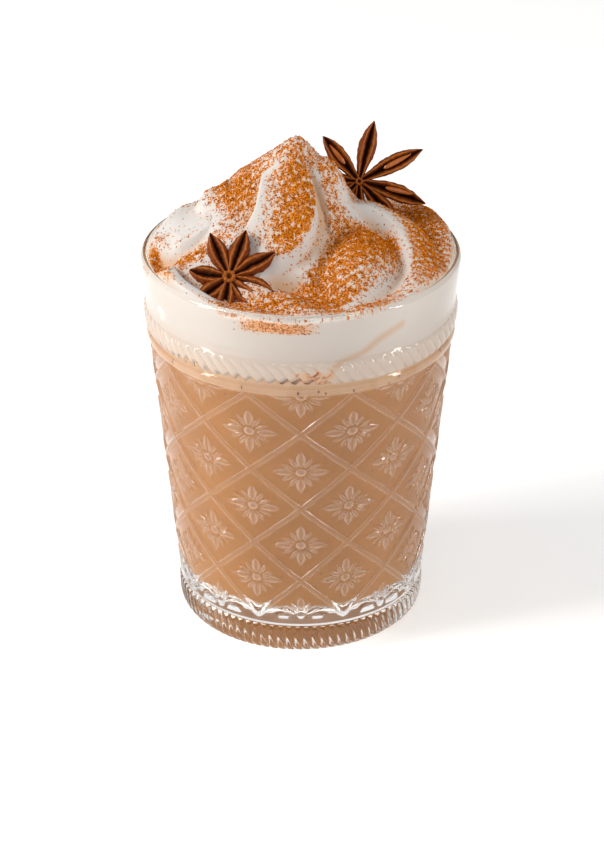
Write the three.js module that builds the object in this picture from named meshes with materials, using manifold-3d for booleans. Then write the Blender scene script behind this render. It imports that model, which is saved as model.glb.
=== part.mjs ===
// A chai latte in a pressed-glass tumbler, topped with whipped cream and two star anise.
// Millimetres, +Z up. The origin is the middle of the foot, on the table, and -Y is the front.
import * as THREE from "three";
import { mergeVertices } from "three/addons/utils/BufferGeometryUtils.js";
import Module from "manifold-3d";

const wasm = await Module();
wasm.setup();

// Tumbler
const GLASS_HEIGHT = 110;
const RIM_RADIUS = 44;
const TAPER_FOOT_RADIUS = 33.5; // where the straight taper of the wall would meet the table
const WALL_AT_RIM = 2.2;
const WALL_AT_TABLE = 3.3;
const FLOOR_HEIGHT = 11.5; // thickness of the clear base
const FLOOR_CORNER = 5;
const INNER_SIDES = 48; // facets of the inner wall, shared by the drink and the cream

// Pressed diamond lattice
const COLUMNS = 9; // diamonds round the wall
const HALF_ROWS = 6; // half diamonds from the top to the bottom
const LATTICE_TOP = 85.8;
const LATTICE_BOTTOM = 13.2;
const RIDGE_RISE = 0.6;
const BOSS_RISE = 0.45; // the flower in the middle of each diamond
const CELLS = 4; // mesh cells along half a diamond

// Ring of slanted ribs under the plain rim, and the smooth bead under it
const BEAD_TOP = 89.3;
const BEAD_RISE = 1.0;
const RIB_TOP = 95.8;
const RIB_RISE = 1.1;
const RIB_VALLEY = 0.35;
const RIBS = 81;
const RIB_SLANT = 1.5; // rib pitches that a rib moves round over its height
const RIB_END = 0.9; // height over which a rib runs out

// Foot with its own slanted ribs
const GROOVE_HEIGHT = 9.5; // over the foot
const GROOVE_RADIUS = 34.2;
const FLARE_HEIGHT = 10.6; // where the wall starts over the groove
const FLARE_RADIUS = 35.05;
const FOOT_RADIUS = 35.2;
const FOOT_RIB_TOP = 8.4;
const FOOT_RIB_BOTTOM = 2.6;
const FOOT_RIB_DEPTH = 1.1;
const FOOT_RIBS = 90;
const FOOT_SLANT = 1.1;
const FOOT_EDGE_RADIUS = 33.2;
const FOOT_EDGE_HEIGHT = 0.8;
const STAND_OUTER = 31.5; // the flat ring that the glass stands on
const STAND_INNER = 26;
const RECESS_DEPTH = 1.2;

// Contents
const GAP = 0.35; // clearance between neighbouring pieces
const SLIVER = 0.03; // finer detail that a join leaves is dropped
const CREAM_BOTTOM = 90;
const CREAM_LEVEL = 108.4; // where the cream meets the wall, on average
const CREAM_SLOPE = 0.03; // it lies lower at the front

// Star anise
const STEM_RADIUS = 2;

const GLASS = new THREE.MeshStandardMaterial({
  color: 0xf4f6f5, roughness: 0.05, metalness: 0, transparent: true, opacity: 0.35,
});
const LATTE = new THREE.MeshStandardMaterial({ color: 0xb98a63, roughness: 0.35, metalness: 0 });
const CREAM = new THREE.MeshStandardMaterial({ color: 0xf3ece4, roughness: 0.5, metalness: 0 });
const POD = new THREE.MeshStandardMaterial({ color: 0x6b3417, roughness: 0.6, metalness: 0 });

const outerRadius = (z) => TAPER_FOOT_RADIUS + ((RIM_RADIUS - TAPER_FOOT_RADIUS) * z) / GLASS_HEIGHT;
const wallAt = (z) => WALL_AT_TABLE + ((WALL_AT_RIM - WALL_AT_TABLE) * z) / GLASS_HEIGHT;
const innerRadius = (z) => outerRadius(z) - wallAt(z);

// A closed skin made of rings round the Z axis, given in order along its profile.
// The profile starts and ends on the axis, and goes up outside and down inside.
class RingSkin {
  constructor() {
    this.points = [];
    this.triangles = [];
    this.last = null;
  }

  pole(z) {
    this.join({ start: this.points.length, count: 1, turn: 0, radii: [0] }, [[0, 0, z]]);
    return this;
  }

  // z and radius are numbers, or functions of the point's index. turn is in degrees.
  ring(count, z, radius, turn = 0) {
    const at = (value, i) => (typeof value === "function" ? value(i) : value);
    const radii = Array.from({ length: count }, (_, i) => at(radius, i));
    const points = radii.map((r, i) => {
      const angle = THREE.MathUtils.degToRad((360 * i) / count + turn - 90);
      return [r * Math.cos(angle), r * Math.sin(angle), at(z, i)];
    });
    this.join({ start: this.points.length, count, turn, radii }, points);
    return this;
  }

  join(ring, points) {
    this.points.push(...points);
    if (this.last) {
      if (ring.count === this.last.count) this.matched(this.last, ring);
      else this.walked(this.last, ring);
    }
    this.last = ring;
  }

  // Rings of one count: each quad folds along its outer diagonal, so that ridges stay sharp.
  matched(a, b) {
    for (let i = 0; i < a.count; i++) {
      const next = (i + 1) % a.count;
      const [a0, a1] = [a.start + i, a.start + next];
      const [b0, b1] = [b.start + i, b.start + next];
      if (a.radii[i] + b.radii[next] >= a.radii[next] + b.radii[i])
        this.triangles.push([a0, a1, b1], [a0, b1, b0]);
      else this.triangles.push([a0, a1, b0], [a1, b1, b0]);
    }
  }

  // Rings of different counts: walks round both by angle.
  walked(a, b) {
    const angle = (ring, i) => (ring.count === 1 ? 360 : (360 * i) / ring.count + ring.turn);
    let i = 0;
    let j = 0;
    const aSteps = a.count === 1 ? 0 : a.count;
    const bSteps = b.count === 1 ? 0 : b.count;
    while (i < aSteps || j < bSteps) {
      const a0 = a.start + (i % a.count);
      const b0 = b.start + (j % b.count);
      const goA = j >= bSteps || (i < aSteps && angle(a, i + 1) <= angle(b, j + 1));
      if (goA) this.triangles.push([a0, a.start + (++i % a.count), b0]);
      else this.triangles.push([a0, b.start + (++j % b.count), b0]);
    }
  }

  geometry() {
    return geometryOf(this.points, this.triangles);
  }
}

function geometryOf(points, triangles) {
  const geometry = new THREE.BufferGeometry();
  geometry.setAttribute("position", new THREE.Float32BufferAttribute(points.flat(), 3));
  geometry.setIndex(triangles.flat());
  return geometry;
}

function solidOf(geometry) {
  const bare = new THREE.BufferGeometry();
  bare.setAttribute("position", geometry.getAttribute("position"));
  bare.setIndex(geometry.getIndex());
  const merged = mergeVertices(bare, 1e-4);
  return new wasm.Manifold(
    new wasm.Mesh({
      numProp: 3,
      vertProperties: new Float32Array(merged.attributes.position.array),
      triVerts: new Uint32Array(merged.index.array),
    }),
  );
}

function geometryFrom(solid) {
  const mesh = solid.getMesh();
  const geometry = new THREE.BufferGeometry();
  geometry.setAttribute("position", new THREE.BufferAttribute(new Float32Array(mesh.vertProperties), 3));
  geometry.setIndex(new THREE.BufferAttribute(new Uint32Array(mesh.triVerts), 1));
  geometry.computeVertexNormals();
  return geometry;
}

// The outer skin of a join, without sealed voids or loose crumbs.
function outerSkin(solid) {
  const largest = (best, piece) => (piece.volume() > best.volume() ? piece : best);
  return solid.decompose().reduce(largest).simplify(SLIVER);
}

// Height of the pressed relief at a mesh point: i counts cells round, j counts cells down.
function latticeRise(i, j) {
  const period = 2 * CELLS;
  const onLine = (n) => ((n % period) + period) % period === CELLS;
  const onCentre = (n) => n % period === 0;
  if (onLine(i + j) || onLine(i - j)) return RIDGE_RISE;
  if (onCentre(i + j) && onCentre(i - j)) return BOSS_RISE;
  return 0;
}

function addFoot(skin) {
  const ribPitch = 360 / FOOT_RIBS;
  const ribbed = (crest) => (i) => crest - (i % 2 ? FOOT_RIB_DEPTH : 0);
  skin
    .pole(RECESS_DEPTH)
    .ring(INNER_SIDES, RECESS_DEPTH, STAND_INNER - 2)
    .ring(INNER_SIDES, 0, STAND_INNER)
    .ring(2 * COLUMNS * CELLS, 0, STAND_OUTER)
    .ring(2 * COLUMNS * CELLS, FOOT_EDGE_HEIGHT, FOOT_EDGE_RADIUS)
    .ring(2 * FOOT_RIBS, FOOT_RIB_BOTTOM, ribbed(FOOT_RADIUS - 0.3))
    .ring(2 * FOOT_RIBS, FOOT_RIB_TOP, ribbed(FOOT_RADIUS), -FOOT_SLANT * ribPitch)
    .ring(2 * COLUMNS * CELLS, GROOVE_HEIGHT, GROOVE_RADIUS)
    .ring(2 * COLUMNS * CELLS, FLARE_HEIGHT, FLARE_RADIUS);
}

function addLattice(skin) {
  const rows = HALF_ROWS * CELLS;
  for (let j = rows; j >= 0; j--) {
    const z = LATTICE_TOP - ((LATTICE_TOP - LATTICE_BOTTOM) * j) / rows;
    skin.ring(2 * COLUMNS * CELLS, z, (i) => outerRadius(z) + latticeRise(i, j));
  }
}

function addRibBand(skin) {
  const ribPitch = 360 / RIBS;
  const ribbed = (z) => (i) => outerRadius(z) + (i % 2 ? RIB_VALLEY : RIB_RISE);
  const beadMiddle = (LATTICE_TOP + BEAD_TOP) / 2;
  skin
    .ring(2 * COLUMNS * CELLS, beadMiddle, outerRadius(beadMiddle) + BEAD_RISE)
    .ring(2 * COLUMNS * CELLS, BEAD_TOP, outerRadius(BEAD_TOP) + RIB_VALLEY)
    .ring(2 * RIBS, BEAD_TOP + RIB_END, ribbed(BEAD_TOP))
    .ring(2 * RIBS, RIB_TOP - RIB_END, ribbed(RIB_TOP), -RIB_SLANT * ribPitch)
    .ring(2 * COLUMNS * CELLS, RIB_TOP, outerRadius(RIB_TOP));
}

function addRimAndInside(skin) {
  const lip = WALL_AT_RIM / 2;
  const lipZ = GLASS_HEIGHT - lip;
  const cornerZ = FLOOR_HEIGHT + FLOOR_CORNER;
  skin
    .ring(2 * COLUMNS * CELLS, lipZ, outerRadius(lipZ))
    .ring(INNER_SIDES, GLASS_HEIGHT, RIM_RADIUS - lip)
    .ring(INNER_SIDES, lipZ, innerRadius(lipZ));
  addInside(skin, 0, cornerZ);
}

// The rounded bottom of the hollow, or of what fills it when gap is above 0, from the wall to the axis.
function addInside(skin, gap, cornerZ) {
  const cornerRadius = innerRadius(cornerZ) - FLOOR_CORNER;
  for (let step = 0; step <= 3; step++) {
    const turn = THREE.MathUtils.degToRad(30 * step);
    skin.ring(
      INNER_SIDES,
      cornerZ - (FLOOR_CORNER - gap) * Math.sin(turn),
      cornerRadius + (FLOOR_CORNER - gap) * Math.cos(turn),
    );
  }
  skin.pole(FLOOR_HEIGHT + gap);
}

function tumbler() {
  const skin = new RingSkin();
  addFoot(skin);
  addLattice(skin);
  addRibBand(skin);
  addRimAndInside(skin);
  return skin.geometry();
}

// The drink fills the tumbler up to the cream. Its profile runs up the wall and back to the axis.
function drink() {
  const top = CREAM_BOTTOM - GAP;
  const cornerZ = FLOOR_HEIGHT + FLOOR_CORNER;
  const cornerRadius = innerRadius(cornerZ) - FLOOR_CORNER;
  const skin = new RingSkin().pole(FLOOR_HEIGHT + GAP);
  for (let step = 3; step >= 0; step--) {
    const turn = THREE.MathUtils.degToRad(30 * step);
    skin.ring(
      INNER_SIDES,
      cornerZ - (FLOOR_CORNER - GAP) * Math.sin(turn),
      cornerRadius + (FLOOR_CORNER - GAP) * Math.cos(turn),
    );
  }
  return skin.ring(INNER_SIDES, top, innerRadius(top) - GAP).pole(top).geometry();
}

// The top of the cream is the highest of its lobes at each spot, blended, then folded and pitted.
// The main lobe is a cone: its tip, how blunt it is, and its slope on each side, by degrees round from +X.
const CREAM_PEAK = {
  tip: [-1.2, 4, 141],
  blunt: 2.2,
  slopes: [
    [0, 1.35], [45, 1.25], [90, 1.0], [135, 0.95], [160, 0.87], [180, 0.8], [225, 0.92], [262, 1.03],
    [282, 1.15], [312, 1.5], [340, 1.3], [360, 1.35],
  ],
};

// A lobe is a mound: its middle [x, y], the height of its foot, its half widths and its rise.
const CREAM_MOUNDS = [
  { name: "right flank", middle: [6.3, 3.5], foot: 112, half: [9.3, 11], rise: 23.5 },
  { name: "left shoulder", middle: [-19, 3], foot: 108, half: [11, 13], rise: 19.6 },
  { name: "left mound", middle: [-30.5, 7], foot: 100, half: [13, 21], rise: 18.6 },
  { name: "back slope", middle: [-4, 14], foot: 103, half: [27, 25], rise: 26 },
  { name: "right fold", middle: [14.5, -11.5], foot: 100, half: [18, 24], rise: 18.7 },
  { name: "left foot", middle: [-20, -9], foot: 100, half: [21, 23], rise: 16.5 },
];

// A pit is a mound turned down.
const CREAM_PITS = [
  { name: "left pit", middle: [-37, -8], foot: 0, half: [4.8, 6.5], rise: 3, power: 1.6 },
  { name: "front pit", middle: [-3.5, -25.3], foot: 0, half: [7.5, 3.6], rise: 3.6, power: 1.6 },
];

// Or a rope: a crest line of [x, y, z], its half width and how far its sides round down.
// scoop hollows out the right-hand side of the line over that distance, or the left-hand side if below 0.
const CREAM_ROPES = [
  {
    name: "right bank",
    line: [
      [18, 33, 109], [29, 25, 112.5], [36, 13, 113.5], [38.5, 1, 112.5], [37.5, -11, 110.5],
      [33.5, -23, 108.5],
    ],
    half: 10,
    round: 8,
  },
  { name: "back", line: [[-22, 30, 110], [0, 37, 110], [22, 30, 110]], half: 10, round: 7 },
  {
    name: "crescent",
    line: [
      [7, 1, 121], [12.5, 1, 122.5], [16.3, 2, 122.5], [21, 1.5, 121], [25.8, -1.5, 118.5],
      [29, -8.6, 115.5], [30.6, -18, 113.2], [29.5, -27, 111], [26.5, -31, 109.8], [21.5, -33.5, 109],
      [15.8, -36, 108.7], [9, -40, 107.5],
    ],
    half: 9,
    round: 7,
    scoop: 4.2,
    crestEdge: 1.2,
  },
  {
    name: "front fold",
    line: [[-16, -22, 113], [-9, -27, 111.5], [-1, -32, 110], [5, -37, 108]],
    half: 6.5,
    round: 5,
  },
  {
    name: "curl",
    line: [[-36, -12, 110], [-34.5, -16, 112], [-33, -21, 112.6], [-29, -27, 111.6], [-23, -32, 109.5]],
    half: 4.6,
    round: 4,
    scoop: -2,
    crestEdge: 0.35,
  },
];

// A fold steps the surface up on the left-hand side of its line and down on the other, or the reverse.
const CREAM_FOLDS = [
  {
    name: "front ridge",
    line: [
      [-0.6, 1, 0], [2.2, -2.5, 0], [4, -6, 0], [4.4, -10, 0], [3.2, -15, 0], [-0.6, -19.8, 0],
      [-6, -22.5, 0], [-12, -21, 0],
    ],
    step: -5,
    reach: 5,
  },
  {
    name: "tongue edge",
    line: [
      [-4.5, 0, 0], [-6, -2.3, 0], [-10.4, -3.4, 0], [-11.8, -8.4, 0], [-12.6, -11.3, 0], [-14, -13, 0],
      [-16, -15, 0],
    ],
    step: 4.6,
    reach: 5,
  },
  {
    name: "right groove",
    line: [[1.5, 0, 0], [4.2, -2.5, 0], [6, -4.5, 0], [7.6, -7.5, 0], [7.8, -11, 0]],
    step: 3,
    reach: 3.5,
  },
  {
    name: "left lip",
    line: [[-41, 4, 0], [-38.5, -3, 0], [-34.5, -7.5, 0], [-29, -9, 0], [-24, -8, 0]],
    step: 4,
    reach: 3.5,
  },
  {
    name: "back swirl",
    line: [[-5, 10, 0], [-11, 15, 0], [-16, 21, 0], [-17, 28, 0], [-13, 34, 0]],
    step: 4.5,
    reach: 5,
  },
  {
    name: "back ridge",
    line: [[4, 10, 0], [5.5, 17, 0], [2, 25, 0], [-5, 31, 0]],
    step: -4.5,
    reach: 5,
  },
  {
    name: "back foot",
    line: [[18, 27, 0], [12, 31, 0], [4, 34, 0], [-6, 36, 0]],
    step: 3,
    reach: 4,
  },
];

const MOUND_POWER = 0.75; // 1 is a plain bowl shape, lower is fuller
const MOUND_SKIRT = 20;
const ROPE_SKIRT = 60;
const BLEND = 0.7; // how softly neighbouring lobes meet
const FOLD_EDGE = 0.45;
const LINE_STEPS = 6;
const CREAM_SIDES = 64;
const CREAM_RINGS = 22;

function fineLine(line) {
  const spots = line.map((p) => new THREE.Vector3(...p));
  const curve = new THREE.CatmullRomCurve3(spots, false, "catmullrom", 0.5);
  return curve.getPoints(LINE_STEPS * (line.length - 1));
}
for (const shape of [...CREAM_ROPES, ...CREAM_FOLDS]) shape.fine = fineLine(shape.line);

// The nearest spot on a line: how far off it is, on which side, how far along, and the line's height there.
function nearest(fine, x, y) {
  const found = { off: Infinity, side: 0, along: 0, z: 0 };
  for (let i = 0; i + 1 < fine.length; i++) {
    const [a, b] = [fine[i], fine[i + 1]];
    const [vx, vy] = [b.x - a.x, b.y - a.y];
    const t = THREE.MathUtils.clamp(((x - a.x) * vx + (y - a.y) * vy) / (vx * vx + vy * vy), 0, 1);
    const off = Math.hypot(x - a.x - t * vx, y - a.y - t * vy);
    if (off >= found.off) continue;
    found.off = off;
    found.side = Math.sign(vx * (y - a.y) - vy * (x - a.x));
    found.along = (i + t) / (fine.length - 1);
    found.z = a.z + t * (b.z - a.z);
  }
  return found;
}

function peakHeight({ tip, blunt, slopes }, x, y) {
  const [dx, dy] = [x - tip[0], y - tip[1]];
  const turn = (THREE.MathUtils.radToDeg(Math.atan2(dy, dx)) + 360) % 360;
  const next = Math.max(1, slopes.findIndex(([angle]) => angle >= turn));
  const [[low, first], [high, second]] = [slopes[next - 1], slopes[next]];
  const slope = THREE.MathUtils.mapLinear(turn, low, high, first, second);
  return tip[2] - slope * (Math.hypot(dx, dy, blunt) - blunt);
}

function moundHeight({ middle, foot, half, rise, power = MOUND_POWER }, x, y) {
  const out = ((x - middle[0]) / half[0]) ** 2 + ((y - middle[1]) / half[1]) ** 2;
  return out < 1 ? foot + rise * (1 - out) ** power : foot - MOUND_SKIRT * (out - 1);
}

const creamFloor = (y) => CREAM_LEVEL + CREAM_SLOPE * y;

function ropeHeight({ fine, half, round, scoop, crestEdge }, x, y) {
  const { off, side, z } = nearest(fine, x, y);
  if (scoop && side * scoop < 0) {
    const eased = Math.sqrt(off * off + crestEdge) - Math.sqrt(crestEdge);
    return z - Math.max(z - creamFloor(y), 0.1) * (1 - Math.exp(-eased / Math.abs(scoop)));
  }
  const out = off / half;
  return z - round * (1 - Math.sqrt(Math.max(0, 1 - out * out))) - ROPE_SKIRT * Math.max(0, out - 1);
}

function creamHeight(x, y) {
  const heights = [creamFloor(y), peakHeight(CREAM_PEAK, x, y)];
  for (const mound of CREAM_MOUNDS) heights.push(moundHeight(mound, x, y));
  for (const rope of CREAM_ROPES) heights.push(ropeHeight(rope, x, y));
  const top = Math.max(...heights);
  let height = top + BLEND * Math.log(heights.reduce((sum, z) => sum + Math.exp((z - top) / BLEND), 0));
  for (const { fine, step, reach } of CREAM_FOLDS) {
    const { off, side, along } = nearest(fine, x, y);
    const share = Math.sin(Math.PI * along) ** 0.6;
    height += 0.5 * step * share * Math.tanh((side * off) / FOLD_EDGE) * Math.exp(-off / reach);
  }
  for (const pit of CREAM_PITS) height -= Math.max(moundHeight(pit, x, y), 0);
  return height;
}

// The cream: a flat bottom, a wall against the glass, and the folded top in rings to the axis.
function creamHeap() {
  const skin = new RingSkin()
    .pole(CREAM_BOTTOM)
    .ring(CREAM_SIDES, CREAM_BOTTOM, innerRadius(CREAM_BOTTOM) - GAP)
    .ring(CREAM_SIDES, (i) => creamEdge(i).z, (i) => creamEdge(i).radius);
  for (let ring = CREAM_RINGS - 1; ring > 0; ring--) {
    const share = ring / CREAM_RINGS;
    const count = share > 0.5 ? CREAM_SIDES : share > 0.2 ? CREAM_SIDES / 2 : CREAM_SIDES / 4;
    const spot = (i) => {
      const angle = (2 * Math.PI * i) / count - Math.PI / 2;
      const radius = share * (innerRadius(CREAM_LEVEL) - GAP);
      return { radius, z: creamHeight(radius * Math.cos(angle), radius * Math.sin(angle)) };
    };
    skin.ring(count, (i) => spot(i).z, (i) => spot(i).radius);
  }
  return skin.pole(creamHeight(0, 0)).geometry();
}

// Where the top meets the wall, kept inside the rim.
function creamEdge(i) {
  const angle = (2 * Math.PI * i) / CREAM_SIDES - Math.PI / 2;
  const reach = innerRadius(CREAM_LEVEL) - GAP;
  const z = Math.min(creamHeight(reach * Math.cos(angle), reach * Math.sin(angle)), GLASS_HEIGHT - 0.5);
  return { z, radius: Math.min(innerRadius(z), innerRadius(GLASS_HEIGHT - WALL_AT_RIM / 2)) - GAP };
}

// One pod of a star anise along +X, open along its top. grow swells it evenly, with its slit closed.
const POD_STATIONS = [
  // share of the length, share of the width, height of the lips
  [0.04, 0.3, 0.5], [0.2, 0.55, 1.0], [0.45, 0.95, 1.5], [0.65, 1, 1.6], [0.85, 0.6, 1.8],
];

function pod(length, width, depth, slit, grow) {
  const points = [];
  const triangles = [];
  for (const [along, wide, lip] of POD_STATIONS) {
    const x = along * length;
    const w = (width / 2) * wide + grow;
    const keel = -depth * wide - grow;
    const top = lip + grow;
    const valley = grow ? top : lip - slit * wide;
    points.push(
      [x, 0, keel], [x, w, keel * 0.35], [x, w * 0.5, top],
      [x, 0, valley], [x, -w * 0.5, top], [x, -w, keel * 0.35],
    );
  }
  const sides = 6;
  const rings = POD_STATIONS.length;
  const heel = points.push([-0.5, 0, 0]) - 1;
  const tip = points.push([length + grow, 0, 2.4]) - 1;
  for (let k = 0; k < sides; k++) {
    const next = (k + 1) % sides;
    for (let ring = 0; ring < rings - 1; ring++) {
      const [a, b] = [ring * sides, (ring + 1) * sides];
      triangles.push([a + k, a + next, b + next], [a + k, b + next, b + k]);
    }
    const end = (rings - 1) * sides;
    triangles.push([heel, next, k], [tip, end + k, end + next]);
  }
  return geometryOf(points, triangles);
}

// A whole star, lying flat with its open side up. Pods with a seed hold it in their slit.
function starAnise({ pods, width, depth, slit, seeds }, grow = 0) {
  const stem = new THREE.CylinderGeometry(STEM_RADIUS + grow, STEM_RADIUS + grow, 2 + 2 * grow, 10);
  stem.rotateX(Math.PI / 2);
  let whole = solidOf(stem);
  pods.forEach(([angle, length], i) => {
    const turn = THREE.MathUtils.degToRad(angle);
    whole = whole.add(solidOf(pod(length, width, depth, slit, grow).rotateZ(turn)));
    if (seeds.includes(i) && !grow) {
      const seed = new THREE.SphereGeometry(1, 10, 6);
      seed.scale(length * 0.17, width * 0.2, 1.1);
      seed.translate(length * 0.62, 0, 1).rotateZ(turn);
      whole = whole.add(solidOf(seed));
    }
  });
  return outerSkin(whole);
}

// Each pod is its angle round the star, in degrees, and its length.
const FRONT_STAR = {
  pods: [[28, 14], [71, 13.5], [115, 13], [178, 10.8], [220, 10.6], [262, 11], [308, 12], [338, 13]],
  width: 5.7,
  depth: 2.2,
  slit: 1.4,
  seeds: [],
};
const BACK_STAR = {
  pods: [[128, 16], [75, 17.2], [26, 19.8], [-15, 19.5], [-47, 17], [-93, 16], [-140, 15], [174, 15.5]],
  width: 5.2,
  depth: 2.6,
  slit: 1.8,
  seeds: [0, 2, 3],
};

// Where a star lies: its middle, how far it tips back from facing up, and the way it turns to.
const FRONT_STAR_AT = { middle: [-19, -25, 113], tipBack: 48, turn: 0 };
const BACK_STAR_AT = { middle: [16, 12, 124.8], tipBack: 66, turn: 4 };

function placed({ middle, tipBack, turn }) {
  const rad = THREE.MathUtils.degToRad;
  return new THREE.Matrix4()
    .makeTranslation(...middle)
    .multiply(new THREE.Matrix4().makeRotationZ(rad(turn)))
    .multiply(new THREE.Matrix4().makeRotationX(rad(tipBack)));
}

function whippedCream() {
  let cream = solidOf(creamHeap());
  cream = cream.subtract(starAnise(FRONT_STAR, GAP).transform(placed(FRONT_STAR_AT).elements));
  cream = cream.subtract(starAnise(BACK_STAR, GAP).transform(placed(BACK_STAR_AT).elements));
  return geometryFrom(outerSkin(cream));
}

function named(name, geometry, material) {
  const mesh = new THREE.Mesh(geometry, material);
  mesh.name = name;
  return mesh;
}

const chaiLatte = new THREE.Group();
chaiLatte.add(named("glass_tumbler", tumbler(), GLASS));
chaiLatte.add(named("latte", drink(), LATTE));
chaiLatte.add(named("whipped_cream", whippedCream(), CREAM));
for (const [name, star, at] of [
  ["star_anise_front", FRONT_STAR, FRONT_STAR_AT],
  ["star_anise_back", BACK_STAR, BACK_STAR_AT],
]) {
  const mesh = named(name, geometryFrom(starAnise(star)), POD);
  mesh.applyMatrix4(placed(at));
  chaiLatte.add(mesh);
}

export default chaiLatte;
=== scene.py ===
"""A chai latte in a pressed-glass tumbler, with whipped cream, cinnamon and star anise."""

import logging
import math
from dataclasses import dataclass, field
from enum import Enum
from typing import Any, Callable, Iterable

import bpy
import numpy as np
from mathutils import Matrix, Vector


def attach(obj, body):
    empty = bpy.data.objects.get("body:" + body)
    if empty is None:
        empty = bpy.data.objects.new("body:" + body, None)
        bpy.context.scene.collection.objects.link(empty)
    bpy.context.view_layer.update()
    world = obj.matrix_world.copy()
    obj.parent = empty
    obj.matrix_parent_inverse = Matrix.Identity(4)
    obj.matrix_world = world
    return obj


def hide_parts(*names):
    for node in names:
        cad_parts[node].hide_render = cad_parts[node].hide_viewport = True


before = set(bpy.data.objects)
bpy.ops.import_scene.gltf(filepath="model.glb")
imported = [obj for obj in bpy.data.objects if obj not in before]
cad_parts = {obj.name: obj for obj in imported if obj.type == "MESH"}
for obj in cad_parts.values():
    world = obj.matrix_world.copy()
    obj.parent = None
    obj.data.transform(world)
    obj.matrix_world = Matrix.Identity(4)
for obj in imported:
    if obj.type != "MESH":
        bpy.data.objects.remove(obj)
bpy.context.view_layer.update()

LOG = logging.getLogger("chai_latte")
MM = 0.001
ROOT = "root"
SEED = 7

Array = np.ndarray
Material = bpy.types.Material
Object = bpy.types.Object
Pair = tuple[float, float]
Triple = tuple[float, float, float]
Colour = tuple[float, float, float, float]
Rows = tuple[tuple[float, ...], ...]


def srgb(red: int, green: int, blue: int) -> Colour:
    """Turns a colour as seen on a screen into the linear colour that a shader takes.

    Args:
        red: 0 to 255.
        green: 0 to 255.
        blue: 0 to 255.

    Returns:
        Linear red, green and blue, with full alpha.
    """
    def linear(value: int) -> float:
        """One channel, by the usual curve."""
        share = value / 255
        return share / 12.92 if share <= 0.04045 else ((share + 0.055) / 1.055) ** 2.4

    return linear(red), linear(green), linear(blue), 1.0


def smooth_step(none: float, full: float, value: Array) -> Array:
    """Eases from 0 to 1.

    Args:
        none: Where the step starts.
        full: Where it ends.
        value: What is eased.

    Returns:
        The eased shares.
    """
    share = np.clip((value - none) / (full - none), 0, 1)
    return share * share * (3 - 2 * share)


def dome(share: Array) -> Array:
    """A round rise: 1 where share is 0, and 0 from where it is 1 or -1."""
    return np.sqrt(np.clip(1 - share * share, 0, 1))


def between(rows: Rows, place: Array | float) -> list[Array]:
    """Reads a table, with even steps between its rows."""
    stops, *columns = np.array(rows).T
    return [np.interp(place, stops, column) for column in columns]


def patch(x: Array, y: Array, middle: Pair, half: Pair) -> Array:
    """How far spots are from the middle of an oval, squared: 1 on its edge."""
    return ((x - middle[0]) / half[0]) ** 2 + ((y - middle[1]) / half[1]) ** 2


def pick(obj: Object) -> None:
    """Selects one object alone and makes it the active one.

    Args:
        obj: The object.
    """
    bpy.ops.object.select_all(action="DESELECT")
    obj.select_set(True)
    bpy.context.view_layer.objects.active = obj


def start_from(name: str, add: Callable[..., Any], **sizes: Any) -> Object:
    """Adds a primitive with nothing else selected, and names it.

    Args:
        name: The piece's name.
        add: The operator that adds the primitive.
        **sizes: What the operator takes, in metres.

    Returns:
        The new object.
    """
    bpy.ops.object.select_all(action="DESELECT")
    add(**sizes)
    obj = bpy.context.object
    obj.name = name
    obj.data.name = name
    bpy.ops.object.transform_apply(location=True, rotation=True, scale=True)
    return obj


def edit_edges(obj: Object) -> None:
    """Goes into edit mode with no edge selected.

    Args:
        obj: The piece.
    """
    pick(obj)
    bpy.ops.object.mode_set(mode="EDIT")
    bpy.ops.mesh.select_mode(type="EDGE")
    bpy.ops.mesh.select_all(action="DESELECT")


def choose_edges(obj: Object, chosen: Array) -> None:
    """Goes into edit mode with only some edges selected.

    Args:
        obj: The piece.
        chosen: For each vertex, whether edges between such vertices are selected.
    """
    edit_edges(obj)
    bpy.ops.object.mode_set(mode="OBJECT")
    for edge in obj.data.edges:
        edge.select = bool(chosen[edge.vertices[0]] and chosen[edge.vertices[1]])
    bpy.ops.object.mode_set(mode="EDIT")


def rows_of(obj: Object, kind: str) -> Array:
    """Reads the mesh's vertices.

    Args:
        obj: The piece.
        kind: co for places in metres, or normal.

    Returns:
        One row for each vertex.
    """
    flat = np.empty(3 * len(obj.data.vertices))
    obj.data.vertices.foreach_get(kind, flat)
    return flat.reshape(-1, 3)


def points_of(obj: Object) -> Array:
    """The mesh's vertices in millimetres, one row each."""
    return rows_of(obj, "co") / MM


def move_points(obj: Object, points: Array) -> None:
    """Puts the mesh's vertices at these places, in millimetres."""
    obj.data.vertices.foreach_set("co", (points * MM).ravel())
    obj.data.update()


def mesh_piece(name: str, points: Array, faces: Iterable[tuple[int, ...]]) -> Object:
    """Makes a mesh object at the origin.

    Args:
        name: The piece's name.
        points: Vertices in millimetres.
        faces: Vertex numbers of each face, outwards.

    Returns:
        The new object.
    """
    mesh = bpy.data.meshes.new(name)
    mesh.from_pydata((points * MM).tolist(), [], list(faces))
    obj = bpy.data.objects.new(name, mesh)
    bpy.context.collection.objects.link(obj)
    return obj


def tag_points(obj: Object, name: str, values: Array) -> None:
    """Stores one number for each vertex, for the material to read."""
    attribute = obj.data.attributes.new(name, "FLOAT", "POINT")
    attribute.data.foreach_set("value", values.astype(np.float32))


def join_all(name: str, parts: list[Object]) -> Object:
    """Joins mesh objects into one.

    Args:
        name: The joined piece's name.
        parts: The objects, of which the first takes in the rest.

    Returns:
        The joined object.
    """
    pick(parts[0])
    for part in parts:
        part.select_set(True)
    bpy.ops.object.join()
    parts[0].name = name
    parts[0].data.name = name
    return parts[0]


def smooth(obj: Object, degrees: float = 180) -> None:
    """Shades the piece smooth, with edges sharper than this angle left crisp."""
    pick(obj)
    bpy.ops.object.shade_smooth_by_angle(angle=math.radians(degrees))


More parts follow.
